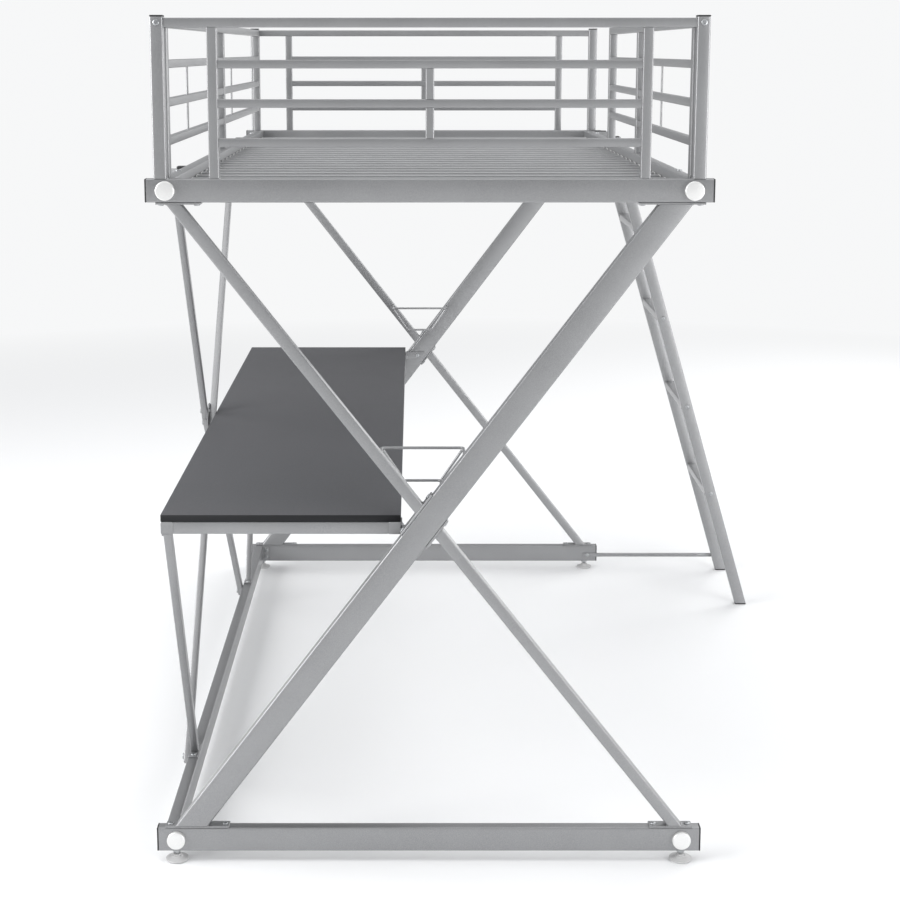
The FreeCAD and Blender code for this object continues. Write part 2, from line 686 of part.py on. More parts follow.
guard_start = -half_length + mm.rail_depth
GUARD_UPRIGHTS = {
    "left": (guard_start, -mm.post_wide / 2, half_length - mm.rail_depth - mm.post_wide),
    "right": (guard_start, -half_length + 810, mm.right_guard_end - mm.post_wide)}
hook_wide = 30
stile_inner = (mm.ladder_near + mm.stile_thick,
               mm.ladder_near + mm.ladder_wide - mm.stile_thick)
ladder_hook_y = (stile_inner[0] + hook_wide / 2, stile_inner[1] - hook_wide / 2)
for hand, sign in SIDES:
    side_rail(hand, sign)

nuts = []
for end, side in ENDS:
    for hand, sign in SIDES:
        play = 0.2
        size = (mm.rail_depth - 2 * mm.tube_wall - 2 * play, 6,
                mm.bed_rail_tall - 2 * mm.tube_wall - 2 * play)
        low = (sign * mm.side_rail_x - size[0] / 2,
               end_low(side, mm.rail_depth + 12, 6), bed_bolt_z - size[2] / 2)
        block = box(f"{end}_{hand}_nut_block", size, low)
        bore = cylinder(f"{end}_{hand}_nut_bore", mm.rail_bolt_radius + mm.hole_play, 8,
                        (sign * bed_bolt_x, end_low(side, mm.rail_depth + 11, 8), bed_bolt_z), Y)
        nuts.append(minus(f"{end}_{hand}_nut_plate", block, bore))
node("rail_nut_plates", *nuts)

slats, clips = [], []
slat_length = 2 * (mm.side_rail_x - mm.rail_depth / 2) - 10
clip_wide = 12
for i in range(int(mm.slat_count.value)):
    y = (i - (mm.slat_count - 1) / 2) * mm.slat_pitch
    slats.append(tube(f"slat{i}", (slat_length, mm.slat_wide, mm.slat_tall),
                      (-slat_length / 2, y - mm.slat_wide / 2, mm.ledge_top), 0, mm.slat_wall))
    for hand, sign in SIDES:
        low_x = slat_length / 2 if sign > 0 else -slat_length / 2 - 3
        plate = box(f"clip{i}_{hand}_plate", (3, mm.slat_wide, mm.slat_tall),
                    (low_x, y - mm.slat_wide / 2, mm.ledge_top))
        play = mm.slat_wall + 0.1
        plug = box(f"clip{i}_{hand}_plug",
                   (clip_wide, mm.slat_wide - 2 * play, mm.slat_tall - 2 * play),
                   (slat_length / 2 - clip_wide if sign > 0 else -slat_length / 2,
                    y - mm.slat_wide / 2 + play, mm.ledge_top + play))
        clip = doc.addObject("Part::Fuse", f"clip{i}_{hand}")
        clip.Base, clip.Tool = plate, plug
        clips.append(clip)
node("slats", *slats)
node("slat_end_plugs", *clips)


# ---------------------------------------------------------------- guards
def through_y(name, x, y, z, depth, radius):
    """Hole along the bed for a screw of the radius given."""
    return cylinder(name, dim(radius) + mm.hole_play, depth, (x, y, z), Y)


guard_screw_radius = 2.5
post_middle = mm.post_span / 2 - mm.post_wide / 2
infill_levels = [mm.infill_low + i * mm.infill_step for i in range(3)]
guard_rail_low = mm.guard_rail_top - mm.guard_rail_tall


def end_guard(end, side):
    """Two posts, a top rail, two inner uprights and three infill tubes with a middle stub."""
    low_y = end_low(side, 0, mm.post_wide)
    parts = []
    for hand, sign in SIDES:
        x = sign * (mm.post_span / 2 - mm.post_wide / 2) - mm.post_wide / 2
        post = tube(f"{end}_{hand}_post", (mm.post_wide, mm.post_wide, mm.post_top - bed_rail_top),
                    (x, low_y, bed_rail_top), 2)
        middle = (sign * (mm.post_span / 2 - mm.post_wide / 2), side * half_length, guard_screw_z)
        hole = screw_hole(f"{end}_{hand}_post_hole", middle, (0, -side, 0),
                          dim(guard_screw_radius), mm.post_wide + 3)
        parts.append(drilled(f"{end}_{hand}_post_cut", post, [hole]))
        x = sign * mm.guard_upright_x - mm.guard_upright / 2
        inner_y = end_low(side, 3, mm.guard_upright)
        parts.append(tube(f"{end}_{hand}_upright",
                          (mm.guard_upright, mm.guard_upright, guard_rail_low - bed_rail_top),
                          (x, inner_y, bed_rail_top), 2))
    length = mm.post_span - 2 * mm.post_wide
    parts.append(tube(f"{end}_guard_top", (length, mm.guard_upright, mm.guard_rail_tall),
                      (-length / 2, end_low(side, 3, mm.guard_upright), guard_rail_low), 0))
    length = 2 * mm.guard_upright_x - mm.guard_upright
    infill_y = end_low(side, 4.5, mm.infill_wide)
    for i, level in enumerate(infill_levels):
        parts.append(tube(f"{end}_infill{i}", (length, mm.infill_wide, mm.infill_wide),
                          (-length / 2, infill_y, level - mm.infill_wide / 2), 0))
    for i in range(2):
        parts.append(tube(f"{end}_stub{i}",
                          (mm.infill_wide, mm.infill_wide, mm.infill_step - mm.infill_wide),
                          (-mm.infill_wide / 2, infill_y, infill_levels[i] + mm.infill_wide / 2),
                          2))
    node(f"{end}_guard", *parts)


def side_guard(hand, sign, wires):
    """Side guard: uprights over the side rail's spigots, a top rail, infill tubes, wires."""
    uprights = GUARD_UPRIGHTS[hand]
    low_x = sign * mm.side_guard_x - mm.side_upright / 2
    parts = []
    for i, y in enumerate(uprights):
        upright = tube(f"{hand}_side_upright{i}",
                       (mm.side_upright, mm.post_wide, guard_rail_low - bed_rail_top),
                       (low_x, y, bed_rail_top), 2)
        parts.append(upright)
    start, stop = uprights[0], uprights[-1] + mm.post_wide
    parts.append(tube(f"{hand}_side_top", (mm.side_upright, stop - start, mm.guard_rail_tall),
                      (low_x, start, guard_rail_low), 1))
    wall = mm.tube_wall
    for end, side in ENDS:
        if side > 0 and hand == "right":
            continue
        y = end_low(side, mm.rail_depth, 10)
        hole = through_y(f"{end}_{hand}_guard_thread", sign * post_middle, y - 1, guard_screw_z,
                         12, guard_screw_radius)
        parts.append(end_block(f"{end}_{hand}_guard_block",
                               (mm.side_upright - 2 * wall, 10, mm.guard_rail_tall - 2 * wall),
                               (low_x + wall, y, guard_rail_low + wall), hole))
    infill_x = sign * mm.side_guard_x - mm.infill_wide / 2
    for i, level in enumerate(infill_levels):
        for j in range(len(uprights) - 1):
            a, b = uprights[j] + mm.post_wide, uprights[j + 1]
            parts.append(tube(f"{hand}_side_infill{i}{j}",
                              (mm.infill_wide, b - a, mm.infill_wide),
                              (infill_x, a, level - mm.infill_wide / 2), 1))
    for j, y in enumerate(wires):
        for i in range(2):
            parts.append(cylinder(f"{hand}_wire{j}{i}", mm.wire_radius,
                                  mm.infill_step - mm.infill_wide,
                                  (sign * mm.side_guard_x, y,
                                   infill_levels[i] + mm.infill_wide / 2), Z))
    node(f"{hand}_guard", *parts)


guard_screw_z = guard_rail_low + mm.guard_rail_tall / 2
for end, side in ENDS:
    end_guard(end, side)
side_guard("left", -1, (-half_length + 374, -half_length + 1226))
side_guard("right", 1, (-half_length + 480,))

caps = []
for end, side in ENDS:
    for hand, sign in SIDES:
        x = sign * (mm.post_span / 2 - mm.post_wide / 2) - mm.post_wide / 2
        caps.append(plug_cap(f"{end}_{hand}_post_cap", (mm.post_wide, mm.post_wide, 0),
                             (x, end_low(side, 0, mm.post_wide), mm.post_top), 1, 2))
node("post_caps", *caps)

screws = []
for end, side in ENDS:
    for hand, sign in SIDES:
        spot = (sign * post_middle, side * half_length, guard_screw_z)
        length = mm.post_wide - 1 if (end, hand) == ("far", "right") else mm.post_wide + 12
        screws.append(screw(f"{end}_{hand}_guard_screw", spot, (0, -side, 0), length,
                            dim(guard_screw_radius)))
for hand, sign in SIDES:
    for i, y in enumerate((-side_bolt_y, side_bolt_y)):
        screws.append(screw(f"{hand}_deck_screw{i}",
                            (sign * (mm.side_rail_x + 6), y, bed_rail_top), (0, 0, -1)))
node("guard_screws", *screws)


# ---------------------------------------------------------------- desk
desk_deep = mm.desk_right - mm.desk_left
frame_top = mm.desk_top_height - mm.desk_board
frame_low = frame_top - mm.desk_tube
desk_half = mm.desk_length / 2
desk_middle_x = (mm.desk_left + mm.desk_right) / 2
desk_screw_x = (mm.desk_left + mm.desk_tube / 2, mm.desk_right - mm.desk_tube / 2)
desk_screw_y = [(mm.desk_length / 2 - 150) * i / 2 for i in (-2, -1, 0, 1, 2)]

desk_holes = [screw_hole(f"desk_hole{i}{j}", (x, y, frame_low), (0, 0, 1), dim(2), 36)
              for i, x in enumerate(desk_screw_x) for j, y in enumerate(desk_screw_y)]
board = padded("desk_board", "XY_Plane",
               [(-desk_deep / 2, -desk_half), (desk_deep / 2, -desk_half),
                (desk_deep / 2, desk_half), (-desk_deep / 2, desk_half)], mm.desk_board)
put(board, desk_middle_x, 0, mm.desk_top_height - mm.desk_board / 2)
node("desk_top", drilled("desk_board_cut", board, desk_holes))

# screws that come up from the desk legs' head plates into the left rail
head_long = 60
desk_head_y = desk_half - head_long + 11
head_spots = {end: (mm.desk_leg_x, side * desk_head_y, frame_low - mm.plate_thick)
              for end, side in ENDS}
head_holes = {end: screw_hole(f"{end}_desk_head_hole", spot, (0, 0, 1))
              for end, spot in head_spots.items()}

# the desk frame's right corners are tied to the thick legs by folded straps
strap = 3
strap_tall = 22
strap_tab = 40
strap_spots = {end: (mm.desk_right + strap, side * (desk_half - strap_tab / 2), desk_middle_z)
               for end, side in ENDS}
strap_rail_holes = [screw_hole(f"{end}_strap_rail_hole", spot, (-1, 0, 0))
                    for end, spot in strap_spots.items()]

pieces = []
for name, x, extra in (("left", mm.desk_left, list(head_holes.values())),
                       ("right", mm.desk_right - mm.desk_tube, strap_rail_holes)):
    rail = tube(f"desk_{name}_rail", (mm.desk_tube, mm.desk_length, mm.desk_tube),
                (x, -desk_half, frame_low), 1)
    pieces.append(drilled(f"desk_{name}_rail_cut", rail, desk_holes + extra))
for name, y in (("near", -desk_half), ("middle", -mm.desk_tube / 2),
                ("far", desk_half - mm.desk_tube)):
    pieces.append(tube(f"desk_{name}_bar", (desk_deep - 2 * mm.desk_tube, mm.desk_tube, mm.desk_tube),
                       (mm.desk_left + mm.desk_tube, y, frame_low), 0))
wall, nut_long = mm.tube_wall, 16
for end, (x, y, z) in strap_spots.items():
    hole = cylinder(f"{end}_desk_thread", mm.screw_radius, 20, (x, y, z), (-1, 0, 0))
    pieces.append(end_block(f"{end}_desk_block", (8, nut_long, mm.desk_tube - 2 * wall),
                            (mm.desk_right - wall - 8, y - nut_long / 2, frame_low + wall), hole))
node("desk_frame", *pieces)
desk_fixings = [screw(f"desk_screw{i}{j}", (x, y, frame_low), (0, 0, 1), 34, dim(2), dim(4),
                      dim(2))
                for i, x in enumerate(desk_screw_x) for j, y in enumerate(desk_screw_y)]


def desk_strap(end, side):
    """Angle strap: one tab on the back of the leg, one on the side of the desk frame."""
    leg_y, right = half_length - mm.rail_depth, mm.desk_right
    corners = [(right, desk_half - strap_tab), (right + strap, desk_half - strap_tab),
               (right + strap, leg_y - strap), (2, leg_y - strap), (2, leg_y), (right, leg_y)]
    if side < 0:
        corners = [(x, -y) for x, y in reversed(corners)]
    body = put(padded(f"{end}_strap_body", "XY_Plane", corners, dim(strap_tall)),
               0, 0, desk_middle_z)
    spots = ((strap_spots[end], (-1, 0, 0)),
             ((strap_leg_x, side * (leg_y - strap), desk_middle_z), (0, side, 0)))
    holes = []
    for i, (spot, into) in enumerate(spots):
        holes.append(screw_hole(f"{end}_strap_hole{i}", spot, into, None, 4))
        desk_fixings.append(screw(f"{end}_strap_screw{i}", spot, into, 12))
    return drilled(f"{end}_strap_cut", body, holes)


node("desk_straps", *[desk_strap(end, side) for end, side in ENDS])


def desk_leg(end, side):
    """Slanting desk leg from the stretcher up to the desk frame's left corner."""
    low = (side * mm.desk_leg_low_y, base_rail_top + mm.plate_thick)
    high = (side * mm.desk_leg_high_y, frame_low - mm.plate_thick)
    leg = slanted_tube(f"{end}_desk_leg_body", "YZ_Plane", low, high, mm.desk_leg_wide,
                       mm.desk_leg_wide, mm.desk_leg_x)
    foot_long = 70
    wide = mm.desk_leg_wide + 4
    foot = box(f"{end}_desk_leg_foot", (wide, foot_long, mm.plate_thick),
               (mm.desk_leg_x - wide / 2, low[0] - foot_long / 2, base_rail_top))
    head_y = desk_half - head_long if side > 0 else -desk_half
    head = box(f"{end}_desk_leg_head", (wide, head_long, mm.plate_thick),
               (mm.desk_leg_x - wide / 2, head_y, frame_low - mm.plate_thick))
    foot_holes = []
    for i, y in enumerate((low[0] - 26, low[0] + 26)):
        spot = (mm.desk_leg_x, y, leg_bottom)
        foot_holes.append(screw_hole(f"{end}_desk_foot_hole{i}", spot, (0, 0, -1)))
        desk_fixings.append(screw(f"{end}_desk_foot_screw{i}", spot, (0, 0, -1)))
    desk_fixings.append(screw(f"{end}_desk_head_screw", head_spots[end], (0, 0, 1)))
    node(f"{end}_desk_leg", leg, drilled(f"{end}_desk_leg_foot_cut", foot, foot_holes),
         drilled(f"{end}_desk_leg_head_cut", head, [head_holes[end]]))
    return foot_holes


desk_leg_holes = [desk_leg(end, side) for end, side in ENDS]
node("desk_screws", *desk_fixings)


# ---------------------------------------------------------------- wall side
wall_screws = []


def stretcher():
    """Low rail between the two base rails, with a welded end plate at each end."""
    plate = 3
    length = mm.bed_length - 2 * mm.rail_depth - 2 * plate
    low_x = mm.stretcher_x - mm.rail_depth / 2
    rail = tube("stretcher_body", (mm.rail_depth, length, mm.base_rail_tall),
                (low_x, -length / 2, mm.base_rail_bottom), 1)
    holes = [screw_hole(f"stretcher_brace_hole{i}", (low_x, y, mm.side_brace_low), (1, 0, 0),
                        None, 6) for i, y in enumerate((-mm.side_brace_y, mm.side_brace_y))]
    for foot_holes in desk_leg_holes:
        holes += foot_holes
    pieces = [drilled("stretcher_cut", rail, holes)]
    for end, side in ENDS:
        low_y = end_low(side, mm.rail_depth, plate)
        flange = box(f"{end}_stretcher_plate", (mm.rail_depth + 18, plate, mm.base_rail_tall - 4),
                     (low_x, low_y, mm.base_rail_bottom + 2))
        face_y = side * (half_length - mm.rail_depth - plate)
        cutters = []
        for i, z in enumerate(stretcher_screw_z):
            spot = (stretcher_screw_x, face_y, z)
            cutters.append(screw_hole(f"{end}_flange_hole{i}", spot, (0, side, 0)))
            wall_screws.append(screw(f"{end}_flange_screw{i}", spot, (0, side, 0)))
        pieces.append(drilled(f"{end}_stretcher_plate_cut", flange, cutters))
    node("stretcher", *pieces)


stretcher()
side_brace_x = mm.stretcher_x - mm.rail_depth / 2 - mm.side_brace_wide / 2
cross_x = side_brace_x - mm.side_brace_bow
outer_face = side_brace_x - mm.side_brace_wide / 2
rail_outer = -(mm.side_rail_x + mm.rail_depth / 2)
mid_z = (mm.side_brace_low + mm.side_brace_high) / 2
brace_overrun = 14


def skew_tube(name, start, stop, wide):
    """Square tube between two points; the tube's sides stay level along its slant."""
    length = hypot(*[dim(b) - a for a, b in zip(start, stop)])
    along = FreeCAD.Vector(*[dim(b).value - dim(a).value for a, b in zip(start, stop)])
    along.normalize()
    side = (along.cross(Z)).normalize()
    turn = FreeCAD.Rotation(along, side, along.cross(side), "XYZ")
    parts = []
    for suffix, wall in (("_outer", dim(0)), ("_bore", mm.tube_wall)):
        item = doc.addObject("Part::Box", name + suffix)
        for prop, size in (("Length", length), ("Width", wide - 2 * wall),
                           ("Height", wide - 2 * wall)):
            bind(item, prop, size)
        half = wide.value / 2 - wall.value
        shift = turn.multVec(FreeCAD.Vector(0, half, half))
        corner = [a - b for a, b in zip(start, (shift.x, shift.y, shift.z))]
        parts.append(put(item, *corner, turn=turn))
    return minus(name + "_tube", *parts)


def brace_point(fraction, x, over=0, flip=1):
    """Point on a side brace: 0 at its lower bolt, 1 at its upper one, `over` past it."""
    run, rise = 2 * mm.side_brace_y, mm.side_brace_high - mm.side_brace_low
    long = hypot(run, rise)
    return (x, flip * ((fraction - 0.5) * run + over * run / long),
            mm.side_brace_low + fraction * rise + over * rise / long)


def through_x(name, x, y, z, depth):
    return cylinder(name, mm.screw_radius + mm.hole_play, depth, (x, y, z), X)


bolt_spots = {"low_near": (-1, mm.side_brace_low, 10), "high_far": (1, mm.side_brace_high, 28),
              "low_far": (1, mm.side_brace_low, 10), "high_near": (-1, mm.side_brace_high, 28)}
brace_holes = {}
for name, (side, z, past) in bolt_spots.items():
    y = side * mm.side_brace_y
    face = outer_face - 0.8 if name in ("low_far", "high_near") else outer_face
    brace_holes[name] = through_x(name + "_hole", outer_face - 4, y, z, mm.side_brace_wide + 8)
    wall_screws.append(screw(name + "_bolt", (face, y, z), X, mm.side_brace_wide + past,
                             None, dim(7), dim(4)))
node("straight_side_brace",
     drilled("straight_brace_cut",
             skew_tube("straight_brace", brace_point(0, side_brace_x, -brace_overrun),
                       brace_point(1, side_brace_x, brace_overrun), mm.side_brace_wide),
             [brace_holes["low_near"], brace_holes["high_far"]]))

# the other brace is in two halves, screwed to a plate that is welded on the straight one
tab = 25
tab_points = [brace_point(0.5, 0, over, -1) for over in (-tab, tab)]
tab_holes = [through_x(f"tab_hole{i}", cross_x - mm.side_brace_wide, y, z, 40)
             for i, (_, y, z) in enumerate(tab_points)]
node("split_brace_lower",
     drilled("lower_half_cut",
             skew_tube("lower_half", brace_point(0, side_brace_x - 0.2, -brace_overrun, -1),
                       brace_point(0.5, cross_x, -0.5, -1), mm.side_brace_wide),
             [brace_holes["low_far"], tab_holes[0]]))
node("split_brace_upper",
     drilled("upper_half_cut",
             skew_tube("upper_half", brace_point(0.5, cross_x, 0.5, -1),
                       brace_point(1, side_brace_x - 0.2, brace_overrun, -1),
                       mm.side_brace_wide),
             [brace_holes["high_near"], tab_holes[1]]))
joint_thick = 2
plate = cylinder("joint_disc", mm.joint_disc_radius, joint_thick,
                 (outer_face - joint_thick, 0, mid_z), X)
node("brace_joint_plate", drilled("joint_disc_cut", plate, tab_holes))
for i, (_, y, z) in enumerate(tab_points):
    face = cross_x - mm.side_brace_wide / 2 + 0.2
    wall_screws.append(screw(f"tab_bolt{i}", (face, y, z), X,
                             mm.side_brace_wide + joint_thick + 4))

spacers = []
for name in ("high_far", "high_near"):
    side, z, _ = bolt_spots[name]
    y = side * mm.side_brace_y
    deep = rail_outer - (side_brace_x + mm.side_brace_wide / 2)
    spacers.append(drilled(f"{name}_spacer_cut",
                           tube(f"{name}_spacer", (deep, 30, 40),
                                (rail_outer - deep, y - 15, z - 20), 2, dim(2)),
                           [through_x(f"{name}_spacer_hole", rail_outer - deep - 2, y, z,
                                      deep + 4)]))
node("brace_spacers", *spacers)
node("wall_side_screws", *wall_screws)


# ---------------------------------------------------------------- ladder
stile_run = mm.ladder_head_x - mm.ladder_foot_x
foot_cap = 3
ladder_screws = []
strut_plate = 3
tread_middles = [mm.tread_low - mm.tread_tall / 2 + i * mm.tread_step
                 for i in range(int(mm.tread_count.value))]


def on_stile(z):
    """The stile's axis at a height."""
    return mm.ladder_foot_x + stile_run * z / bed_rail_top


def stile_cap(name, low, middle):
    """Plastic cap of a slanting stile, level top and bottom."""
    half = mm.stile_wide / 2 * hypot(stile_run, bed_rail_top) / bed_rail_top
    high = dim(low) + foot_cap
    points = [(on_stile(low) - half, low), (on_stile(low) + half, low),
              (on_stile(high) + half, high), (on_stile(high) - half, high)]
    return put(padded(name, "XZ_Plane", points, mm.stile_thick), 0, middle, 0)


hook_z = bed_bolt_z
hook_stile_x = on_stile(hook_z)
strut_stile_x = on_stile(mm.strut_height)
hooks, stile_caps = [], []
for end, side in ENDS:
    outer_y = mm.ladder_near if side < 0 else mm.ladder_near + mm.ladder_wide
    inner_y = outer_y - side * mm.stile_thick
    middle = outer_y - side * mm.stile_thick / 2
    low, high = dim(foot_cap), bed_rail_top - foot_cap
    stile = slanted_tube(f"{end}_stile_body", "XZ_Plane", (on_stile(low), low),
                         (on_stile(high), high), mm.stile_wide, mm.stile_thick, middle)
    cutters = []
    for i, z in enumerate(tread_middles):
        spot = (on_stile(z), outer_y, z)
        cutters.append(screw_hole(f"{end}_tread_hole{i}", spot, (0, -side, 0), None,
                                  mm.stile_thick + 1))
        ladder_screws.append(screw(f"{end}_tread_screw{i}", spot, (0, -side, 0),
                                   mm.stile_thick + 7))
    # folded hook: one leaf on the side rail, one on the stile's inner face
    hook_low_y = inner_y if side < 0 else inner_y - hook_wide
    leaf = box(f"{end}_hook_leaf", (3, hook_wide, mm.bed_rail_tall - 5),
               (-rail_outer, hook_low_y, hook_z - (mm.bed_rail_tall - 5) / 2))
    arm_long = 46
    arm = box(f"{end}_hook_arm", (arm_long, 3, mm.bed_rail_tall - 5),
              (-rail_outer, inner_y if side < 0 else inner_y - 3,
               hook_z - (mm.bed_rail_tall - 5) / 2))
    hook = doc.addObject("Part::Fuse", f"{end}_hook")
    hook.Base, hook.Tool = leaf, arm
    rail_spot = (-rail_outer + 3, hook_low_y + hook_wide / 2, hook_z)
    stile_spot = (hook_stile_x, inner_y - side * 3, hook_z)
    hook_holes = [screw_hole(f"{end}_hook_hole0", rail_spot, (-1, 0, 0)),
                  screw_hole(f"{end}_hook_hole1", stile_spot, (0, side, 0))]
    hooks.append(drilled(f"{end}_hook_cut", hook, hook_holes))
    cutters.append(hook_holes[1])
    ladder_screws += [screw(f"{end}_hook_screw0", rail_spot, (-1, 0, 0)),
                      screw(f"{end}_hook_screw1", stile_spot, (0, side, 0))]
    if side > 0:
        cutters.append(screw_hole("strut_stile_hole",
                                  (strut_stile_x, outer_y + strut_plate, mm.strut_height),
                                  (0, -1, 0)))
    node(f"{end}_stile", drilled(f"{end}_stile_cut", stile, cutters))
    stile_caps += [stile_cap(f"{end}_stile_foot", dim(0), middle),
                   stile_cap(f"{end}_stile_head", high, middle)]
node("ladder_hooks", *hooks)
node("stile_caps", *stile_caps)

treads = []
for i, z in enumerate(tread_middles):
    start, stop = stile_inner
    corner = (on_stile(z) - mm.tread_deep / 2, start, z - mm.tread_tall / 2)
    treads.append(tube(f"tread{i}", (mm.tread_deep, stop - start, mm.tread_tall), corner, 1))
    wall = mm.tube_wall
    for end, y in (("near", start), ("far", stop - 8)):
        hole = through_y(f"{end}_tread_thread{i}", on_stile(z), y - 1, z, 10, 3)
        treads.append(end_block(f"{end}_tread_block{i}",
                                (mm.tread_deep - 2 * wall, 8, mm.tread_tall - 2 * wall),
                                (corner[0] + wall, y, corner[2] + wall), hole))
node("ladder_treads", *treads)

# strut: a round tube with a flattened tab at each end
far_rail_face = half_length - mm.rail_depth
strut_y = far_rail_face - strut_plate / 2
rail_tab_end = mm.base_rail_length / 2 + mm.cap_thick + 8
stile_tab_start = strut_stile_x - 30
tab_tall = 2 * mm.strut_radius
tabs = []
for name, low, high, hole_x, spot_y, into in (
        ("rail", strut_rail_x - 14, rail_tab_end, strut_rail_x, far_rail_face - strut_plate, 1),
        ("stile", stile_tab_start, strut_stile_x + 10, strut_stile_x, far_rail_face, -1)):
    plate = box(f"strut_{name}_tab", (high - low, strut_plate, tab_tall),
                (low, far_rail_face - strut_plate, mm.strut_height - mm.strut_radius))
    spot = (hole_x, spot_y, mm.strut_height)
    tabs.append(drilled(f"strut_{name}_tab_cut", plate,
                        [screw_hole(f"strut_{name}_hole", spot, (0, into, 0))]))
    ladder_screws.append(screw(f"strut_{name}_screw", spot, (0, into, 0)))
rod = cylinder("strut_rod", mm.strut_radius, stile_tab_start - rail_tab_end,
               (rail_tab_end, strut_y, mm.strut_height), X)
node("ladder_strut", rod, *tabs)
node("ladder_screws", *ladder_screws)


# ---------------------------------------------------------------- wire racks
def wire(name, start, stop):
    """Round wire between two points."""
    along = FreeCAD.Vector(*[dim(b).value - dim(a).value for a, b in zip(start, stop)])
    length = hypot(*[dim(b) - a for a, b in zip(start, stop)])
    return cylinder(name, mm.rack_wire, length, start, along)


def wire_rack(end, side):
    """Bent loop of wire that stands off the end frame on four prongs."""
    y = side * (half_length - mm.rack_offset)
    high, low = (mm.rack_x, mm.rack_high_half, mm.rack_high), (mm.rack_x, mm.rack_low_half,
                                                               mm.rack_low)
    corners = []
    for middle, half, z in (high, low):
        corners += [(middle - half, y, z), (middle + half, y, z)]
    runs = [(corners[0], corners[1]), (corners[2], corners[3]),
            (corners[0], corners[2]), (corners[1], corners[3])]
    leg_back = side * (half_length - mm.rail_depth)
    brace_back = side * (half_length - (mm.rail_depth + mm.brace_wide) / 2)
    for corner, back in zip(corners, (brace_back, leg_back, brace_back, leg_back)):
        runs.append((corner, (corner[0], back, corner[2])))
    pieces = [wire(f"{end}_rack_wire{i}", *run) for i, run in enumerate(runs)]
    for i, corner in enumerate(corners):
        ball = doc.addObject("Part::Sphere", f"{end}_rack_bend{i}")
        bind(ball, "Radius", mm.rack_wire)
        pieces.append(put(ball, *corner))
    rack = doc.addObject("Part::MultiFuse", f"{end}_rack_body")
    rack.Shapes = pieces
    node(f"{end}_wire_rack", rack)


for end, side in ENDS:
    wire_rack(end, side)


# ---------------------------------------------------------------- check and export
doc.recompute()
problems = [item.Name for item in doc.Objects
            if "Invalid" in item.State or "Error" in item.State]
problems += [item.Label for item in NODES if item.Shape.isNull() or not item.Shape.isValid()]
if problems:
    raise RuntimeError("broken shapes: " + ", ".join(problems))
os.makedirs("parts", exist_ok=True)
for item in NODES:
    item.Shape.exportStep(os.path.join("parts", item.Label + ".step"))
whole = FreeCAD.BoundBox()
for item in NODES:
    whole.add(item.Shape.BoundBox)
print(len(NODES), "sub-parts;", "x", round(whole.XMin, 2), round(whole.XMax, 2),
      "y", round(whole.YMin, 2), round(whole.YMax, 2),
      "z", round(whole.ZMin, 2), round(whole.ZMax, 2))
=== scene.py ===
# %% [markdown]
# # A loft bed with a desk, dressed in Blender
#
# The steel frame of this bed comes in as a finished model with exact sizes. In this lesson
# its plain square solids are dressed: tubes get rolled corners, screws get sockets, the round
# cover caps get a spun finish, the feet get a thread. Every new surface is a formula on a grid
# of numbers, worked out with numpy, and every finish is built from shader nodes.
#
# The first step loads the frame.

# %% Load the frame
import json
import math

import bpy
import numpy as np
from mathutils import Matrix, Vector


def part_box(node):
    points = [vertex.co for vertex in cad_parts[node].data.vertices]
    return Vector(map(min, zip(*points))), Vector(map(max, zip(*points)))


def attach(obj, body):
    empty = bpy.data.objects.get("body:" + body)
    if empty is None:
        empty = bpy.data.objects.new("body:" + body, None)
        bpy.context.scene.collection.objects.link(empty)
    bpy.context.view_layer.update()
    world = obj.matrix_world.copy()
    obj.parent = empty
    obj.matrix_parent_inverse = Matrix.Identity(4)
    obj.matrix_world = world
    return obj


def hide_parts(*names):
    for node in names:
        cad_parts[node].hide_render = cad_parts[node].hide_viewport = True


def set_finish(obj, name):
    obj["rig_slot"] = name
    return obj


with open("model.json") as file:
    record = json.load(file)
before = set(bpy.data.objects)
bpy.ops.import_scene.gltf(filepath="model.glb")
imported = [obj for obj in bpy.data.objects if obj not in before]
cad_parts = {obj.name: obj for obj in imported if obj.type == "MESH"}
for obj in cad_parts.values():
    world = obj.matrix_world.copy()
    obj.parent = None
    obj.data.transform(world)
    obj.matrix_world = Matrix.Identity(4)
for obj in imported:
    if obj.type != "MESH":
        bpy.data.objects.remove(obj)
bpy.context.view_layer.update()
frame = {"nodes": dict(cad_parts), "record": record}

# %% [markdown]
# ## Working in millimetres from the middle of the bed
#
# Blender works in metres, but steel tube is drawn in millimetres. The ladder stands out on one
# side, so the middle of the whole object isn't the middle of the bed. The near bed rail is
# symmetrical, so the middle of its box gives the bed's own centre line, and all the points
# below are millimetres from there: x across the bed, y along it, z up from the floor.

# %% Millimetres to the frame's metres
rail_low, rail_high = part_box("near_bed_rail")
BED_X = (rail_low[0] + rail_high[0]) / 2


def to_frame(points):
    """Millimetres from the bed's centre line to metres in the frame."""
    return np.asarray(points, float) * 0.001 + (BED_X, 0.0, 0.0)


def to_bed(points):
    """Metres in the frame back to millimetres from the bed's centre line."""
    return (np.asarray(points, float) - (BED_X, 0.0, 0.0)) * 1000


ENDS, HANDS = (("near", -1), ("far", 1)), (("left", -1), ("right", 1))
END_FACE, END_BACK = 985.0, 960.0
END_MIDDLE = (END_FACE + END_BACK) / 2
BASE_BOTTOM, BASE_TOP, DECK_BOTTOM, DECK_TOP = 23.0, 73.0, 1344.0, 1389.0
PLATE = 4.0
PLATE_TOP, PLATE_BOTTOM = BASE_TOP + PLATE, DECK_BOTTOM - PLATE
print("the bed's centre line is at x =", round(BED_X, 4), "m")

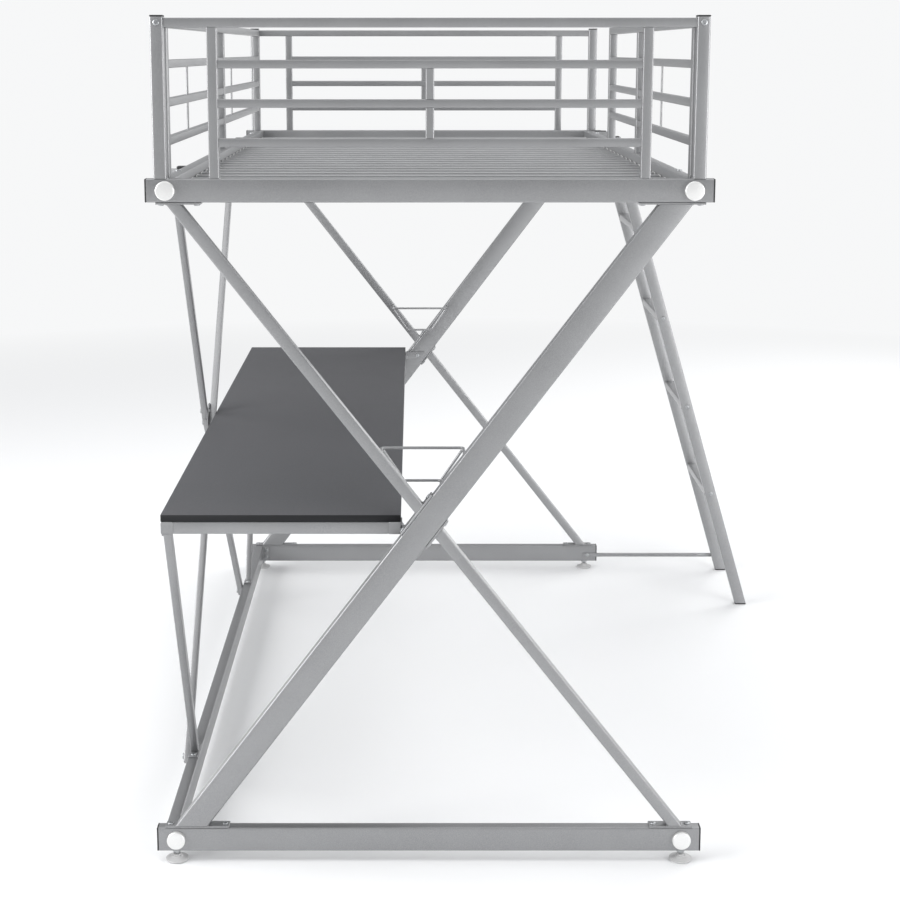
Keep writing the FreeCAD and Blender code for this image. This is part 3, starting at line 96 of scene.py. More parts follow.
# %% [markdown]
# ## From numbers to a mesh
#
# A shape here is a pair: an array of points, and a list of face arrays that hold point numbers.
# Shapes are joined by adding an offset to the numbers, with no loop over the points. One object
# is made for each named piece, so that the list of pieces stays readable.
#
# Tubes need soft light on their rolled corners and flat light on their faces. Smooth shading
# with edges marked sharp over a set angle does both.


# %% Mesh helpers
def join(shapes):
    """One shape out of several: the points in a row, the face numbers shifted to suit."""
    starts = np.cumsum([0] + [len(points) for points, _ in shapes])
    faces = [part + start for (_, parts), start in zip(shapes, starts) for part in parts]
    return np.concatenate([points for points, _ in shapes]), faces


def grid_faces(rows, columns, wrap_columns=True, wrap_rows=False):
    """Quads of a grid of points, numbered row by row; a wrap joins the last line to the first."""
    i, j = np.meshgrid(np.arange(rows if wrap_rows else rows - 1),
                       np.arange(columns if wrap_columns else columns - 1), indexing="ij")
    up, right = (i + 1) % rows, (j + 1) % columns
    return np.stack([i * columns + j, i * columns + right,
                     up * columns + right, up * columns + j], -1).reshape(-1, 4)


def capped_grid(rows, columns):
    """Quads of a row of rings, and one face that closes the ring at each end."""
    ring = np.arange(columns)
    return [grid_faces(rows, columns), ring[::-1][None], ((rows - 1) * columns + ring)[None]]


def full_turn(steps):
    """Angles of one turn, the last one short of the first."""
    return np.arange(steps) * 2 * math.pi / steps


def new_mesh(name, shapes):
    """Blender mesh of several shapes."""
    points, faces = join(shapes)
    mesh = bpy.data.meshes.new(name)
    mesh.from_pydata(to_frame(points).tolist(), [], [f for part in faces for f in part.tolist()])
    return mesh


def placed(name, data):
    """Object of some data, in the scene."""
    obj = bpy.data.objects.new(name, data)
    bpy.context.scene.collection.objects.link(obj)
    return obj


PIECES = {}


def piece(name, shapes, nodes=(), body="frame", slot="frame_paint", sharp=38, spin=None):
    """Makes one object, stands it for its CAD nodes and lets it ride on a body."""
    mesh = new_mesh(name, shapes)
    mesh.shade_smooth()
    mesh.set_sharp_from_angle(angle=math.radians(sharp))
    if spin is not None:
        layer = mesh.attributes.new("spin", "FLOAT_VECTOR", "POINT")
        layer.data.foreach_set("vector", np.asarray(spin, np.float32).ravel())
    obj = placed(name, mesh)
    if nodes:
        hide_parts(*nodes)
    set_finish(obj, slot)
    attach(obj, body)
    PIECES[name] = obj
    return obj


print("mesh helpers are ready")

# %% [markdown]
# ## The tube: one section carried between two ends
#
# Square tube is rolled from strip, so its corners have a radius of about one to two wall
# thicknesses. The section is four quarter circles joined by straight lines. The tube is that
# section carried along a line. Where a leg stands on a level plate, its end is cut level, so
# each point of the section slides along the line until it meets the cutting plane:
# t = -n.(p - q) / n.d, with n the plane's normal, q a point on it and d the line's direction.
# Two extra rings near each end take off the sharp cut edge.


# %% Rounded section and cut tube
def unit(vector):
    """The same direction, one long."""
    vector = np.asarray(vector, float)
    return vector / np.linalg.norm(vector)


def section(wide, tall, radius, steps=3):
    """Outline of a rounded rectangle: corner centre + radius * (cos, sin), corner by corner."""
    radius = min(radius, wide / 2 - 0.01, tall / 2 - 0.01)
    angle = np.radians(np.arange(4)[:, None] * 90 + np.linspace(0, 90, steps + 1))
    x = np.array([1, -1, -1, 1])[:, None] * (wide / 2 - radius) + radius * np.cos(angle)
    y = np.array([1, 1, -1, -1])[:, None] * (tall / 2 - radius) + radius * np.sin(angle)
    return np.stack([x.ravel(), y.ravel()], 1)


def tube(start, end, wide, tall, side, radius=2.0, soft=0.5, cut_start=None, cut_end=None):
    """Section carried from start to end; wide lies along side, tall across it."""
    start, end = np.asarray(start, float), np.asarray(end, float)
    along = unit(end - start)
    side = unit(np.asarray(side, float) - np.dot(side, along) * along)
    up = np.cross(along, side)
    full = section(wide, tall, radius)
    worn = section(wide - 2 * soft, tall - 2 * soft, max(radius - soft, 0.15))
    rings = []
    for outline, point, normal, shift in ((worn, start, cut_start, 0), (full, start, cut_start, soft),
                                          (full, end, cut_end, -soft), (worn, end, cut_end, 0)):
        normal = along if normal is None else np.asarray(normal, float)
        spread = outline[:, :1] * side + outline[:, 1:] * up
        reach = -(spread @ normal) / (normal @ along) + shift
        rings.append(point + spread + reach[:, None] * along)
    return np.concatenate(rings), capped_grid(len(rings), len(full))


def block(low, high, radius=1.0, soft=0.5):
    """Tube or bar that lies along an axis, from its two opposite corners."""
    low, high = np.minimum(low, high).astype(float), np.maximum(low, high).astype(float)
    size, middle = high - low, (low + high) / 2
    axis = int(np.argmax(size))
    reach = np.eye(3)[axis] * size[axis] / 2
    return tube(middle - reach, middle + reach, size[(axis + 1) % 3], size[(axis + 2) % 3],
                np.eye(3)[(axis + 1) % 3], radius, soft)


LEVEL = (0, 0, 1)
print("a section has", len(section(25, 25, 2)), "points")

# %% [markdown]
# ## The end frames
#
# Each end of the bed is a base rail, a bed rail and an X between them. The X isn't two tubes
# of the same size: one thick leg runs through from corner to corner, and a thin brace crosses
# it in two halves that end in small flange plates. The brace's inner ends are cut parallel to
# the leg, so their cutting plane has the leg's own normal.

# %% Base rails, bed rails and the leg
RAILS = (("base_rail", 549.5, BASE_BOTTOM, BASE_TOP), ("bed_rail", 539.5, DECK_BOTTOM, DECK_TOP))
LEG_WIDE, BRACE_WIDE = 52, 23
leg_low, leg_high = np.array((-481.0, 0.0, PLATE_TOP)), np.array((469.0, 0.0, PLATE_BOTTOM))
leg_along = unit(leg_high - leg_low)
leg_out = np.array((-leg_along[2], 0.0, leg_along[0]))
leg_middle = (leg_low + leg_high) / 2
brace_low = np.array((499.0, 0.0, PLATE_TOP))
brace_high = np.array((-488.0, 0.0, PLATE_BOTTOM))
brace_along = unit(brace_high - brace_low)
# tip of each half of the brace, the distance from the leg's axis to the face it ends on, and the
# joint flange there: its middle along the leg, its length, its distance from the leg's axis
HALVES = (("upper", brace_high, 30, (4.5, 102, 28)), ("lower", brace_low, -30, (-2.9, 72, -28)))


def end_block(side, low_x, high_x, low_z, high_z, radius=3, soft=0.5):
    """Tube or bar as deep as an end frame."""
    return block((low_x, side * END_BACK, low_z), (high_x, side * END_FACE, high_z), radius, soft)


def flange(middle_x, length, z, side):
    """Level flange plate, PLATE thick, its underside at z."""
    return end_block(side, middle_x - length / 2, middle_x + length / 2, z, z + PLATE, 1.2, 0.6)


def joint_flange(middle, length, out, side):
    """Flange plate on the leg's slanting face, `out` from the leg's axis."""
    centre = leg_middle + leg_out * out + (0, side * END_MIDDLE, 0)
    ends = [centre + leg_along * (middle + s * length / 2) for s in (-1, 1)]
    return tube(*ends, PLATE, END_FACE - END_BACK, leg_out, 1.2, 0.6)


def brace_root(tip, face):
    """Point of the brace's axis on the plane that lies `face` from the leg's axis."""
    gap = leg_out @ (leg_middle + leg_out * face - tip)
    return tip + brace_along * gap / (leg_out @ brace_along)


for end, side in ENDS:
    shift = np.array((0, side * END_MIDDLE, 0))
    for rail, half, low, top in RAILS:
        piece(f"{end}_{rail}_tube", [end_block(side, -half, half, low, top)], [f"{end}_{rail}"])
    piece(f"{end}_leg_tube",
          [tube(leg_low + shift, leg_high + shift, LEG_WIDE, 25, (1, 0, 0), 3, 0.4, LEVEL, LEVEL),
           flange(-470, 129, BASE_TOP, side), flange(461.5, 129, PLATE_BOTTOM, side)],
          [f"{end}_thick_leg"])
    for half, tip, face, joint in HALVES:
        level_plate = (flange(-479, 87, PLATE_BOTTOM, side) if half == "upper"
                       else flange(491, 87, BASE_TOP, side))
        piece(f"{end}_{half}_brace_tube",
              [tube(brace_root(tip, face) + shift, tip + shift, BRACE_WIDE, BRACE_WIDE, (1, 0, 0),
                    2.5, 0.4, leg_out, LEVEL),
               level_plate, joint_flange(*joint, side)],
              [f"{end}_{half}_brace"])
print("end frames:", len(PIECES), "pieces")

# %% [markdown]
# ## Guards
#
# A mattress is kept in by four guards. The end guards have square posts at the corners, an
# inner frame and three cross tubes; the side guards have fewer uprights and a few thin wires
# that only stiffen the cross tubes. All of it lies along the axes, so each tube is one call
# with two opposite corners. The side guard by the ladder stops short to leave the way in.

# %% End guards and side guards
LEVELS = (1457.0, 1530.5, 1604.0)
GUARD_LOW, GUARD_TOP, POST_TOP = 1672.0, 1690.0, 1692.0
GUARD_BACK, GUARD_FACE = 963, 982
CROSS_BACK, CROSS_FACE, CROSS_HALF = 964.5, 980.5, 8


def rod(start, end, radius, steps=12):
    """Round rod: a circle carried between two points."""
    start, end = np.asarray(start, float), np.asarray(end, float)
    along = unit(end - start)
    u = unit(np.cross(along, (0.3, 0.2, 1.0) if abs(along[2]) < 0.9 else (1.0, 0.2, 0.1)))
    angle = full_turn(steps)
    ring = radius * (np.cos(angle)[:, None] * u + np.sin(angle)[:, None] * np.cross(along, u))
    return np.concatenate([start + ring, end + ring]), capped_grid(2, steps)


for end, side in ENDS:
    tubes = [block((-500, side * GUARD_BACK, GUARD_LOW), (500, side * GUARD_FACE, GUARD_TOP), 2)]
    for sign in (-1, 1):
        tubes += [end_block(side, sign * 500, sign * 525, DECK_TOP, POST_TOP),
                  block((sign * 400.5, side * GUARD_BACK, DECK_TOP),
                        (sign * 419.5, side * GUARD_FACE, GUARD_LOW), 2)]
    tubes += [block((-400.5, side * CROSS_BACK, level - CROSS_HALF),
                    (400.5, side * CROSS_FACE, level + CROSS_HALF), 2) for level in LEVELS]
    tubes += [block((-CROSS_HALF, side * CROSS_BACK, low + CROSS_HALF),
                    (CROSS_HALF, side * CROSS_FACE, high - CROSS_HALF), 2)
              for low, high in zip(LEVELS, LEVELS[1:])]
    piece(f"{end}_guard_tubes", tubes, [f"{end}_guard"])

for hand, sign, uprights, wires in (("left", -1, (-960, -12.5, 935), (-611, 241)),
                                    ("right", 1, (-960, -175, 390), (-505,))):
    x = sign * 507
    tubes = [block((x - 10, y, DECK_TOP), (x + 10, y + 25, GUARD_LOW), 2) for y in uprights]
    tubes.append(block((x - 10, uprights[0], GUARD_LOW), (x + 10, uprights[-1] + 25, GUARD_TOP), 2))
    for level in LEVELS:
        for low, high in zip(uprights, uprights[1:]):
            tubes.append(block((x - CROSS_HALF, low + 25, level - CROSS_HALF),
                               (x + CROSS_HALF, high, level + CROSS_HALF), 2))
    for y in wires:
        tubes += [rod((x, y, low + CROSS_HALF), (x, y, high - CROSS_HALF), 2.5)
                  for low, high in zip(LEVELS, LEVELS[1:])]
    piece(f"{hand}_guard_tubes", tubes, [f"{hand}_guard"])
print("guards: cross tubes at", LEVELS)

# %% [markdown]
# ## The deck
#
# Flat slat tubes rest on a thin ledge inside each side rail. All of them are at one pitch, so
# their places are a single arange. Their plastic end plugs are separate, because they are
# another material.

# %% Side rails, slats and slat plugs
RAIL_IN, RAIL_OUT, LEDGE_TOP = 489.5, 514.5, 1360
SLATS, PITCH, SLAT_END, SLAT_TOP = 23, 80.0, 484.5, 1372
for hand, sign in HANDS:
    piece(f"{hand}_side_rail_tube",
          [block((sign * RAIL_IN, -END_BACK, DECK_BOTTOM), (sign * RAIL_OUT, END_BACK, DECK_TOP), 3),
           block((sign * 467.5, -END_BACK, LEDGE_TOP - 2), (sign * RAIL_IN, END_BACK, LEDGE_TOP),
                 0.4, 0.3)],
          [f"{hand}_side_rail"])
slat_y = (np.arange(SLATS) - SLATS // 2) * PITCH
piece("slat_tubes",
      [block((-SLAT_END, y - 15, LEDGE_TOP), (SLAT_END, y + 15, SLAT_TOP), 3) for y in slat_y],
      ["slats"])
piece("slat_plugs",
      [block((sign * SLAT_END, y - 15, LEDGE_TOP), (sign * (SLAT_END + 3), y + 15, SLAT_TOP), 2.5, 0.8)
       for y in slat_y for sign in (-1, 1)], ["slat_end_plugs"], slot="pale_plastic")
print("slats:", len(slat_y), "from y =", slat_y[0], "to", slat_y[-1])

# %% [markdown]
# ## The desk
#
# The board is faced with laminate and lies on a ladder of square tube. Two angle straps tie
# the tube to the thick legs, and two slanting legs carry the wall side down to the long
# stretcher on the floor.

# %% Desk board, frame, straps and legs
DESK_LEFT, DESK_RIGHT, DESK_HALF, DESK_TOP = -535.0, -56.5, 945.0, 719.0
BOARD_LOW, FRAME_LOW, FRAME_WIDE = 704, 679, 25
piece("desk_board",
      [block((DESK_LEFT, -DESK_HALF, BOARD_LOW), (DESK_RIGHT, DESK_HALF, DESK_TOP), 1.4, 1.2)],
      ["desk_top"], slot="desk_laminate", sharp=50)
tubes = [block((x, -DESK_HALF, FRAME_LOW), (x + FRAME_WIDE, DESK_HALF, BOARD_LOW), 2.5)
         for x in (DESK_LEFT, DESK_RIGHT - FRAME_WIDE)]
tubes += [block((DESK_LEFT + FRAME_WIDE, y, FRAME_LOW),
                (DESK_RIGHT - FRAME_WIDE, y + FRAME_WIDE, BOARD_LOW), 2.5)
          for y in (-DESK_HALF, -FRAME_WIDE / 2, DESK_HALF - FRAME_WIDE)]
piece("desk_frame_tubes", tubes, ["desk_frame"])
STRAP_LOW, STRAP_TOP = 680.5, 702.5
straps = []
for side in (-1, 1):
    straps += [block((DESK_RIGHT, side * 905, STRAP_LOW),
                     (DESK_RIGHT + 3, side * END_BACK, STRAP_TOP), 0.6, 0.4),
               block((DESK_RIGHT, side * (END_BACK - 3), STRAP_LOW),
                     (2, side * END_BACK, STRAP_TOP), 0.6, 0.4)]
piece("desk_strap_plates", straps, ["desk_straps"])
LEG_FOOT, LEG_HEAD = 612, 927
for end, side in ENDS:
    piece(f"{end}_desk_leg_tube",
          [tube((-523, side * LEG_FOOT, PLATE_TOP), (-523, side * LEG_HEAD, FRAME_LOW - PLATE),
                17, 17, (1, 0, 0), 2, 0.4, LEVEL, LEVEL),
           block((-533.5, side * LEG_FOOT - 35, BASE_TOP),
                 (-512.5, side * LEG_FOOT + 35, PLATE_TOP), 1.2),
           block((-533.5, side * 885, FRAME_LOW - PLATE),
                 (-512.5, side * DESK_HALF, FRAME_LOW), 1.2)],
          [f"{end}_desk_leg"])
print("desk board:", DESK_RIGHT - DESK_LEFT, "by", 2 * DESK_HALF, "mm")

# %% [markdown]
# ## The wall side
#
# A stretcher joins the two base rails, and two long braces cross behind the desk. One brace is
# straight. The other is in two halves that bow outwards to pass it, and both halves are screwed
# to a round plate. A tube between any two points is the same call as before.

# %% Stretcher, cross braces and spacers
piece("stretcher_tube",
      [block((-535.5, -957, BASE_BOTTOM), (-510.5, 957, BASE_TOP), 3)]
      + [block((-535.5, side * 957, BASE_BOTTOM + 2), (-492.5, side * END_BACK, BASE_TOP - 2), 0.6, 0.4)
         for side in (-1, 1)],
      ["stretcher"])
SIDE_X, CROSS_X, CROSS_Z = -543.5, -562.4, 708.0
BOLT_Y, BOLT_LOW, BOLT_HIGH, PAST_BOLT, BAR = 585, 50, 1366, 14, 16
run = unit((0, 2 * BOLT_Y, BOLT_HIGH - BOLT_LOW))
low_near = np.array((SIDE_X, -BOLT_Y, BOLT_LOW)) - PAST_BOLT * run
high_far = np.array((SIDE_X, BOLT_Y, BOLT_HIGH)) + PAST_BOLT * run
flip = np.array((1, -1, 1))
centre = np.array((CROSS_X, 0, CROSS_Z))
inwards = np.array((0.2, 0, 0))
piece("straight_brace_tube", [tube(low_near, high_far, BAR, BAR, (1, 0, 0), 2)],
      ["straight_side_brace"])
piece("lower_split_brace_tube",
      [tube(low_near * flip - inwards, centre - 0.5 * run * flip, BAR, BAR, (1, 0, 0), 2)],
      ["split_brace_lower"])
piece("upper_split_brace_tube",
      [tube(centre + 0.5 * run * flip, high_far * flip - inwards, BAR, BAR, (1, 0, 0), 2)],
      ["split_brace_upper"])
piece("brace_spacer_blocks",
      [block((-535.5, y - 15, 1346), (-RAIL_OUT, y + 15, 1386), 3, 0.8) for y in (-BOLT_Y, BOLT_Y)],
      ["brace_spacers"], slot="black_plastic")
print("side braces cross at z =", CROSS_Z)

# %% [markdown]
# ## The ladder
#
# Two stiles lean on the side rail and four treads are screwed between them. The stiles are cut
# level top and bottom, so they are the slanted tube again.

# %% Stiles, treads and hooks
NEAR_STILE, FAR_STILE, STILE_WIDE, CAP = 617, 947, 20, 3
TREAD_LOW, TREAD_STEP, TREADS = 340, 262.0, 4
HOOK_LOW, HOOK_TOP = 1346.5, 1386.5


def stile_x(z):
    """The stile's axis: a straight line from the floor to the top of the side rail."""
    return 945 - 406.5 * z / DECK_TOP


def stile(y, low, high, soft):
    """Length of a stile between two heights."""
    return tube((stile_x(low), y, low), (stile_x(high), y, high), 31, STILE_WIDE, (1, 0, 0), 2.5,
                soft, LEVEL, LEVEL)


for end, y in (("near", NEAR_STILE), ("far", FAR_STILE)):
    piece(f"{end}_stile_tube", [stile(y, CAP, DECK_TOP - CAP, 0.3)], [f"{end}_stile"])
piece("stile_end_caps",
      [stile(y, z, z + CAP, 0.7) for y in (NEAR_STILE, FAR_STILE) for z in (0, DECK_TOP - CAP)],
      ["stile_caps"], slot="black_plastic")
tread_z = TREAD_LOW + TREAD_STEP * np.arange(TREADS)
tread_ends = NEAR_STILE + STILE_WIDE // 2, FAR_STILE - STILE_WIDE // 2
piece("ladder_tread_tubes",
      [block((stile_x(z) - 15, tread_ends[0], z - 10), (stile_x(z) + 15, tread_ends[1], z + 10), 2.5)
       for z in tread_z], ["ladder_treads"])
hooks = []
for inner, sign in zip(tread_ends, (1, -1)):
    hooks += [block((RAIL_OUT, inner, HOOK_LOW), (RAIL_OUT + 3, inner + sign * 30, HOOK_TOP), 0.6, 0.4),
              block((RAIL_OUT, inner, HOOK_LOW), (RAIL_OUT + 46, inner + sign * 3, HOOK_TOP), 0.6, 0.4)]
piece("ladder_hook_plates", hooks, ["ladder_hooks"])
print("treads at", tread_z)

# %% [markdown]
# ## The ladder's strut
#
# The strut at the foot is a round tube that is pressed flat at its ends for the screws: its half
# thickness is a smooth step from flat to round, and its outline blends from a rectangle to a
# circle. The smooth step is 3x^2 - 2x^3 between 0 and 1, level at both ends.


# %% Strut
def smooth_step(x):
    """0 below 0, 1 above 1, 3x^2 - 2x^3 in between."""
    x = np.clip(x, 0, 1)
    return x * x * (3 - 2 * x)


def pressed_strut(low_x, high_x, y, z, radius, flat, steps=24, rows=60):
    """Round tube pressed flat at both ends: |cos|^p and |sin|^p with p falling from 1 to 0.35."""
    x = np.linspace(low_x, high_x, rows)
    inside = np.minimum(x - low_x, high_x - x)
    ease = smooth_step((inside - 46) / 22)[:, None]
    angle = full_turn(steps)
    power = 0.35 + 0.65 * ease
    across = np.sign(np.cos(angle)) * np.abs(np.cos(angle)) ** power
    tall = np.sign(np.sin(angle)) * np.abs(np.sin(angle)) ** power
    half = flat / 2 + (radius - flat / 2) * ease
    points = np.stack([np.broadcast_to(x[:, None], across.shape), y + half * across,
                       z + radius * tall], -1).reshape(-1, 3)
    return points, capped_grid(rows, steps)


STRUT_Z = 44
strut_tip = stile_x(STRUT_Z) + 10
piece("ladder_strut_tube", [pressed_strut(508.5, strut_tip, 958.5, STRUT_Z, 6, 3)],
      ["ladder_strut"], sharp=45)
print("strut length:", round(strut_tip - 508.5, 1), "mm")

# %% [markdown]
# ## Wire racks
#
# A small rack of bent wire stands off the back of each X. Wire is bent round a former, so its
# corners are arcs. Each corner P between neighbours A and B is replaced by the curve
# (1-s)^2 A' + 2s(1-s) P + s^2 B', with A' and B' one bend radius away from P. The circle is
# then carried along the path, with one side of it kept square to a fixed direction.


# %% Bent wire
def bent(points, radius, steps=8):
    """Path with every inner corner rounded."""
    points = np.asarray(points, float)
    corner, before, after = points[1:-1], points[:-2], points[2:]
    back = (before - corner) / np.linalg.norm(before - corner, axis=1, keepdims=True)
    ahead = (after - corner) / np.linalg.norm(after - corner, axis=1, keepdims=True)
    s = np.linspace(0, 1, steps)[None, :, None]
    arcs = ((1 - s) ** 2 * (corner + radius * back)[:, None] + 2 * s * (1 - s) * corner[:, None]
            + s ** 2 * (corner + radius * ahead)[:, None])
    return np.concatenate([points[:1], arcs.reshape(-1, 3), points[-1:]])


def wire(path, radius, square_to, steps=12):
    """Circle carried along a path; square_to is a direction that the path never takes."""
    along = np.gradient(path, axis=0)
    along /= np.linalg.norm(along, axis=1, keepdims=True)
    u = np.cross(along, square_to)
    u /= np.linalg.norm(u, axis=1, keepdims=True)
    v = np.cross(along, u)
    angle = full_turn(steps)[None, :, None]
    points = path[:, None] + radius * (np.cos(angle) * u[:, None] + np.sin(angle) * v[:, None])
    return points.reshape(-1, 3), capped_grid(len(path), steps)


WIRE, BEND = 3, 9
for end, side in ENDS:
    back, y = side * END_BACK, side * 909
    upper = bent([(-95, side * 961, 847), (-95, y, 847), (69, y, 847), (69, back, 847)], BEND)
    lower = bent([(-50, side * 961, 780), (-50, y, 780), (24, y, 780), (24, back, 780)], BEND)
    links = [wire(np.linspace(a, b, 4), WIRE, (0, 1, 0))
             for a, b in (((-92, y, 842), (-51.5, y, 782)), ((66, y, 842), (25.5, y, 782)))]
    piece(f"{end}_rack_wires", [wire(path, WIRE, LEVEL) for path in (upper, lower)] + links,
          [f"{end}_wire_rack"])
print("rack wire path:", len(upper), "points")

# %% [markdown]
# ## Turned pieces
#
# Cover caps, feet and nuts are turned, which means a radius that depends on the height and, for
# a nut or a hexagonal neck, on the angle too. The grid is (height, angle), and a pole is one
# single point so that the surface closes. A turned piece also stores its own coordinates: the
# cosine and sine of the angle and the distance along the profile. The spun finish of the caps
# reads those.


# %% Turning on a lathe
def hexagon(angle, flat):
    """Distance to the side of a hexagon whose flats are `flat` from the middle."""
    return flat / np.cos((angle + math.pi / 6) % (math.pi / 3) - math.pi / 6)


def turned(radius, height, origin, direction, steps=48, closed=False):
    """Surface of turn. radius is (rows,) or (rows, steps); a zero end row becomes a pole."""
    height = np.asarray(height, float)
    radius = np.asarray(radius, float)
    if radius.ndim == 1:
        radius = np.repeat(radius[:, None], steps, 1)
    w = unit(direction)
    u = unit(np.cross(w, (0.0, 0.0, 1.0) if abs(w[2]) < 0.9 else (1.0, 0.0, 0.0)))
    v = np.cross(w, u)
    angle = full_turn(steps)
    ring = np.cos(angle)[:, None] * u + np.sin(angle)[:, None] * v
    points = (np.asarray(origin, float) + radius[..., None] * ring[None]
              + height[:, None, None] * w)
    middle = radius.mean(1)
    length = np.concatenate([[0], np.cumsum(np.hypot(np.diff(middle), np.diff(height)))])
    spin = np.stack([np.broadcast_to(np.cos(angle), radius.shape),
                     np.broadcast_to(np.sin(angle), radius.shape),
                     np.broadcast_to(length[:, None], radius.shape)], -1)
    points, spin = points.reshape(-1, 3), spin.reshape(-1, 3)
    if closed:
        return points, [grid_faces(len(height), steps, True, True)], spin
    first, last = middle[0] < 1e-9, middle[-1] < 1e-9
    quads = grid_faces(len(height), steps)
    keep = np.ones(len(points), bool)
    fans = []
    j = np.arange(steps)
    right = (j + 1) % steps
    if first:
        quads = quads[steps:]
        keep[1:steps] = False
        fans.append(np.stack([0 * j, steps + right, steps + j], 1))
    if last:
        top = (len(height) - 1) * steps
        quads = quads[:-steps]
        keep[top + 1:] = False
        fans.append(np.stack([top - steps + j, top - steps + right, 0 * j + top], 1))
    number = np.cumsum(keep) - 1
    return points[keep], [number[part] for part in [quads] + fans], spin[keep]


def turned_piece(name, parts, nodes, body, slot, sharp=38):
    """Object out of turned parts, with their own coordinates stored on it."""
    spin = np.concatenate([part[2] for part in parts])
    return piece(name, [part[:2] for part in parts], nodes, body, slot, sharp, spin)


print("a hexagon's corner is", round(float(hexagon(np.array([math.pi / 6]), 1.0)[0]), 3), "flats out")

# %% [markdown]
# ## Cover caps
#
# Each rail bolt is hidden by a pale round cap: a short straight rim, a rolled edge and a face
# that is very slightly domed. The rolled edge is a quarter circle and the dome a parabola.

# %% Eight cover caps
roll = np.linspace(0, math.pi / 2, 7)
face_r = np.linspace(15.6, 0, 9)
cap_r = np.concatenate([[0, 17.6, 18.3, 18.5], 15.9 + 2.6 * np.cos(roll), face_r[1:]])
cap_z = np.concatenate([[0, 0, 0.25, 0.9], 6.7 + 2.4 * np.sin(roll),
                        9.1 + 0.85 * (1 - (face_r[1:] / 15.6) ** 2)])
caps = [turned(cap_r, cap_z, (x, side * END_FACE, z), (0, side, 0), 64)
        for side in (-1, 1) for x, z in ((-513, 48), (513, 48), (-503, 1366.5), (503, 1366.5))]
turned_piece("cover_cap_discs", caps, ["cover_caps"], "frame", "cover_cap_metal")
plate = turned([0, 34.5, 35, 35, 34.5, 0], [0, 0, 0.4, 1.6, 2, 2], (-551.5, 0, CROSS_Z),
               (-1, 0, 0), 64)
turned_piece("brace_joint_disc", [plate], ["brace_joint_plate"], "frame", "frame_paint")
print("cover caps:", len(caps), "of", len(cap_r), "rings")

# %% [markdown]
# ## Levelling feet
#
# Under each corner stands a foot on a threaded stem, which is screwed in or out on an uneven
# floor. The stem is a real thread: its radius falls and rises once for every 1.25 mm of
# height less the turn of the angle, so the crest climbs as a helix. The pad has a hexagonal
# neck to grip, and the rest of it is a saucer. A lock nut under the rail holds the setting.


# %% Pads, threaded stems and lock nuts
FOOT_X = 514


def thread(low, high, crest, depth, pitch, origin, steps=20, per_turn=8):
    """Threaded rod: radius = crest - depth * a smooth step down and up once for each turn.

    saw is the fraction of height / pitch - angle / full turn, and the step is highest where saw
    is one half.
    """
    rows = int((high - low) / pitch * per_turn) + 1
    z = np.linspace(low, high, rows)
    angle = np.arange(steps) / steps
    saw = (z[:, None] / pitch - angle[None]) % 1.0
    radius = crest - depth * smooth_step(1 - np.abs(2 * saw - 1) * 1.6)
    radius = np.concatenate([np.zeros((1, steps)), np.full((1, steps), crest - depth), radius,
                             np.full((1, steps), crest - depth), np.zeros((1, steps))])
    z = np.concatenate([[low, low], z, [high, high]])
    return turned(radius, z, origin, LEVEL, steps)


def foot_pad(origin, steps=72):
    """Saucer with a hexagonal neck and a bore for the stem."""
    angle = full_turn(steps)
    out = np.linspace(0, 1, 10)
    saucer_r = 23 - 12.6 * smooth_step(out)
    saucer_z = 3.6 + 5.4 * out ** 1.6
    neck = hexagon(angle, 7.7)
    rows_r = [np.zeros(steps), *(np.full(steps, r) for r in (20.6, 22.3, 23.0)),
              *(np.full(steps, r) for r in saucer_r), neck + 0.6, neck, neck, neck - 0.6,
              *(np.full(steps, r) for r in (4.3, 4.08, 4.08)), np.zeros(steps)]
    rows_z = [0, 0, 0.5, 1.8, *saucer_z, 9.4, 10.0, 12.5, 13.0, 13.0, 12.8, 4.93, 4.93]
    return turned(np.stack(rows_r), rows_z, origin, LEVEL, steps)


flats = hexagon(full_turn(48), 8.2)
round_off, bore = np.minimum(flats, 8.9), np.full(48, 4.1)
nut_r = np.stack([bore, bore + 0.4, round_off, flats, flats, round_off, bore + 0.4, bore])
nut_z = [18.4, 18, 18, 18.6, 22.3, 22.9, 22.9, 22.5]
nuts = []
for end, side in ENDS:
    for hand, sign in HANDS:
        spot = (sign * FOOT_X, side * END_MIDDLE, 0)
        foot = f"{end}_{hand}"
        turned_piece(f"{foot}_saucer", [foot_pad(spot)], [f"{foot}_foot_pad"], f"{foot}_pad",
                     "foot_plastic", 30)
        turned_piece(f"{foot}_thread", [thread(5, 40, 4, 0.62, 1.25, spot)],
                     [f"{foot}_foot_stem"], f"{foot}_stem", "zinc_steel", 60)
        nuts.append(turned(nut_r, nut_z, spot, LEVEL, 48, closed=True))
turned_piece("foot_lock_nut_rings", nuts, ["foot_lock_nuts"], "frame", "zinc_steel", 30)
print("a stem's thread has", len(PIECES["near_left_thread"].data.vertices), "points")

# %% [markdown]
# ## Room for the stems
#
# When a foot is screwed out, its stem slides through the base rail's underside, so the rail
# needs real holes there. A Boolean modifier takes two round wells out of each rail. Its result
# is kept as the rail's mesh, because a live modifier would still need the cutting shape.


# %% Wells in the base rails
def drill(obj, cutters):
    """The piece less the cutters: the modifier's result becomes the piece's own mesh."""
    cutter = placed("cutter", new_mesh("cutter", cutters))
    cut = obj.modifiers.new("wells", "BOOLEAN")
    cut.operation, cut.solver, cut.object = "DIFFERENCE", "EXACT", cutter
    result = obj.evaluated_get(bpy.context.evaluated_depsgraph_get())
    mesh = bpy.data.meshes.new_from_object(result)
    obj.modifiers.remove(cut)
    obj.data = mesh
    mesh.set_sharp_from_angle(angle=math.radians(38))
    bpy.data.objects.remove(cutter)


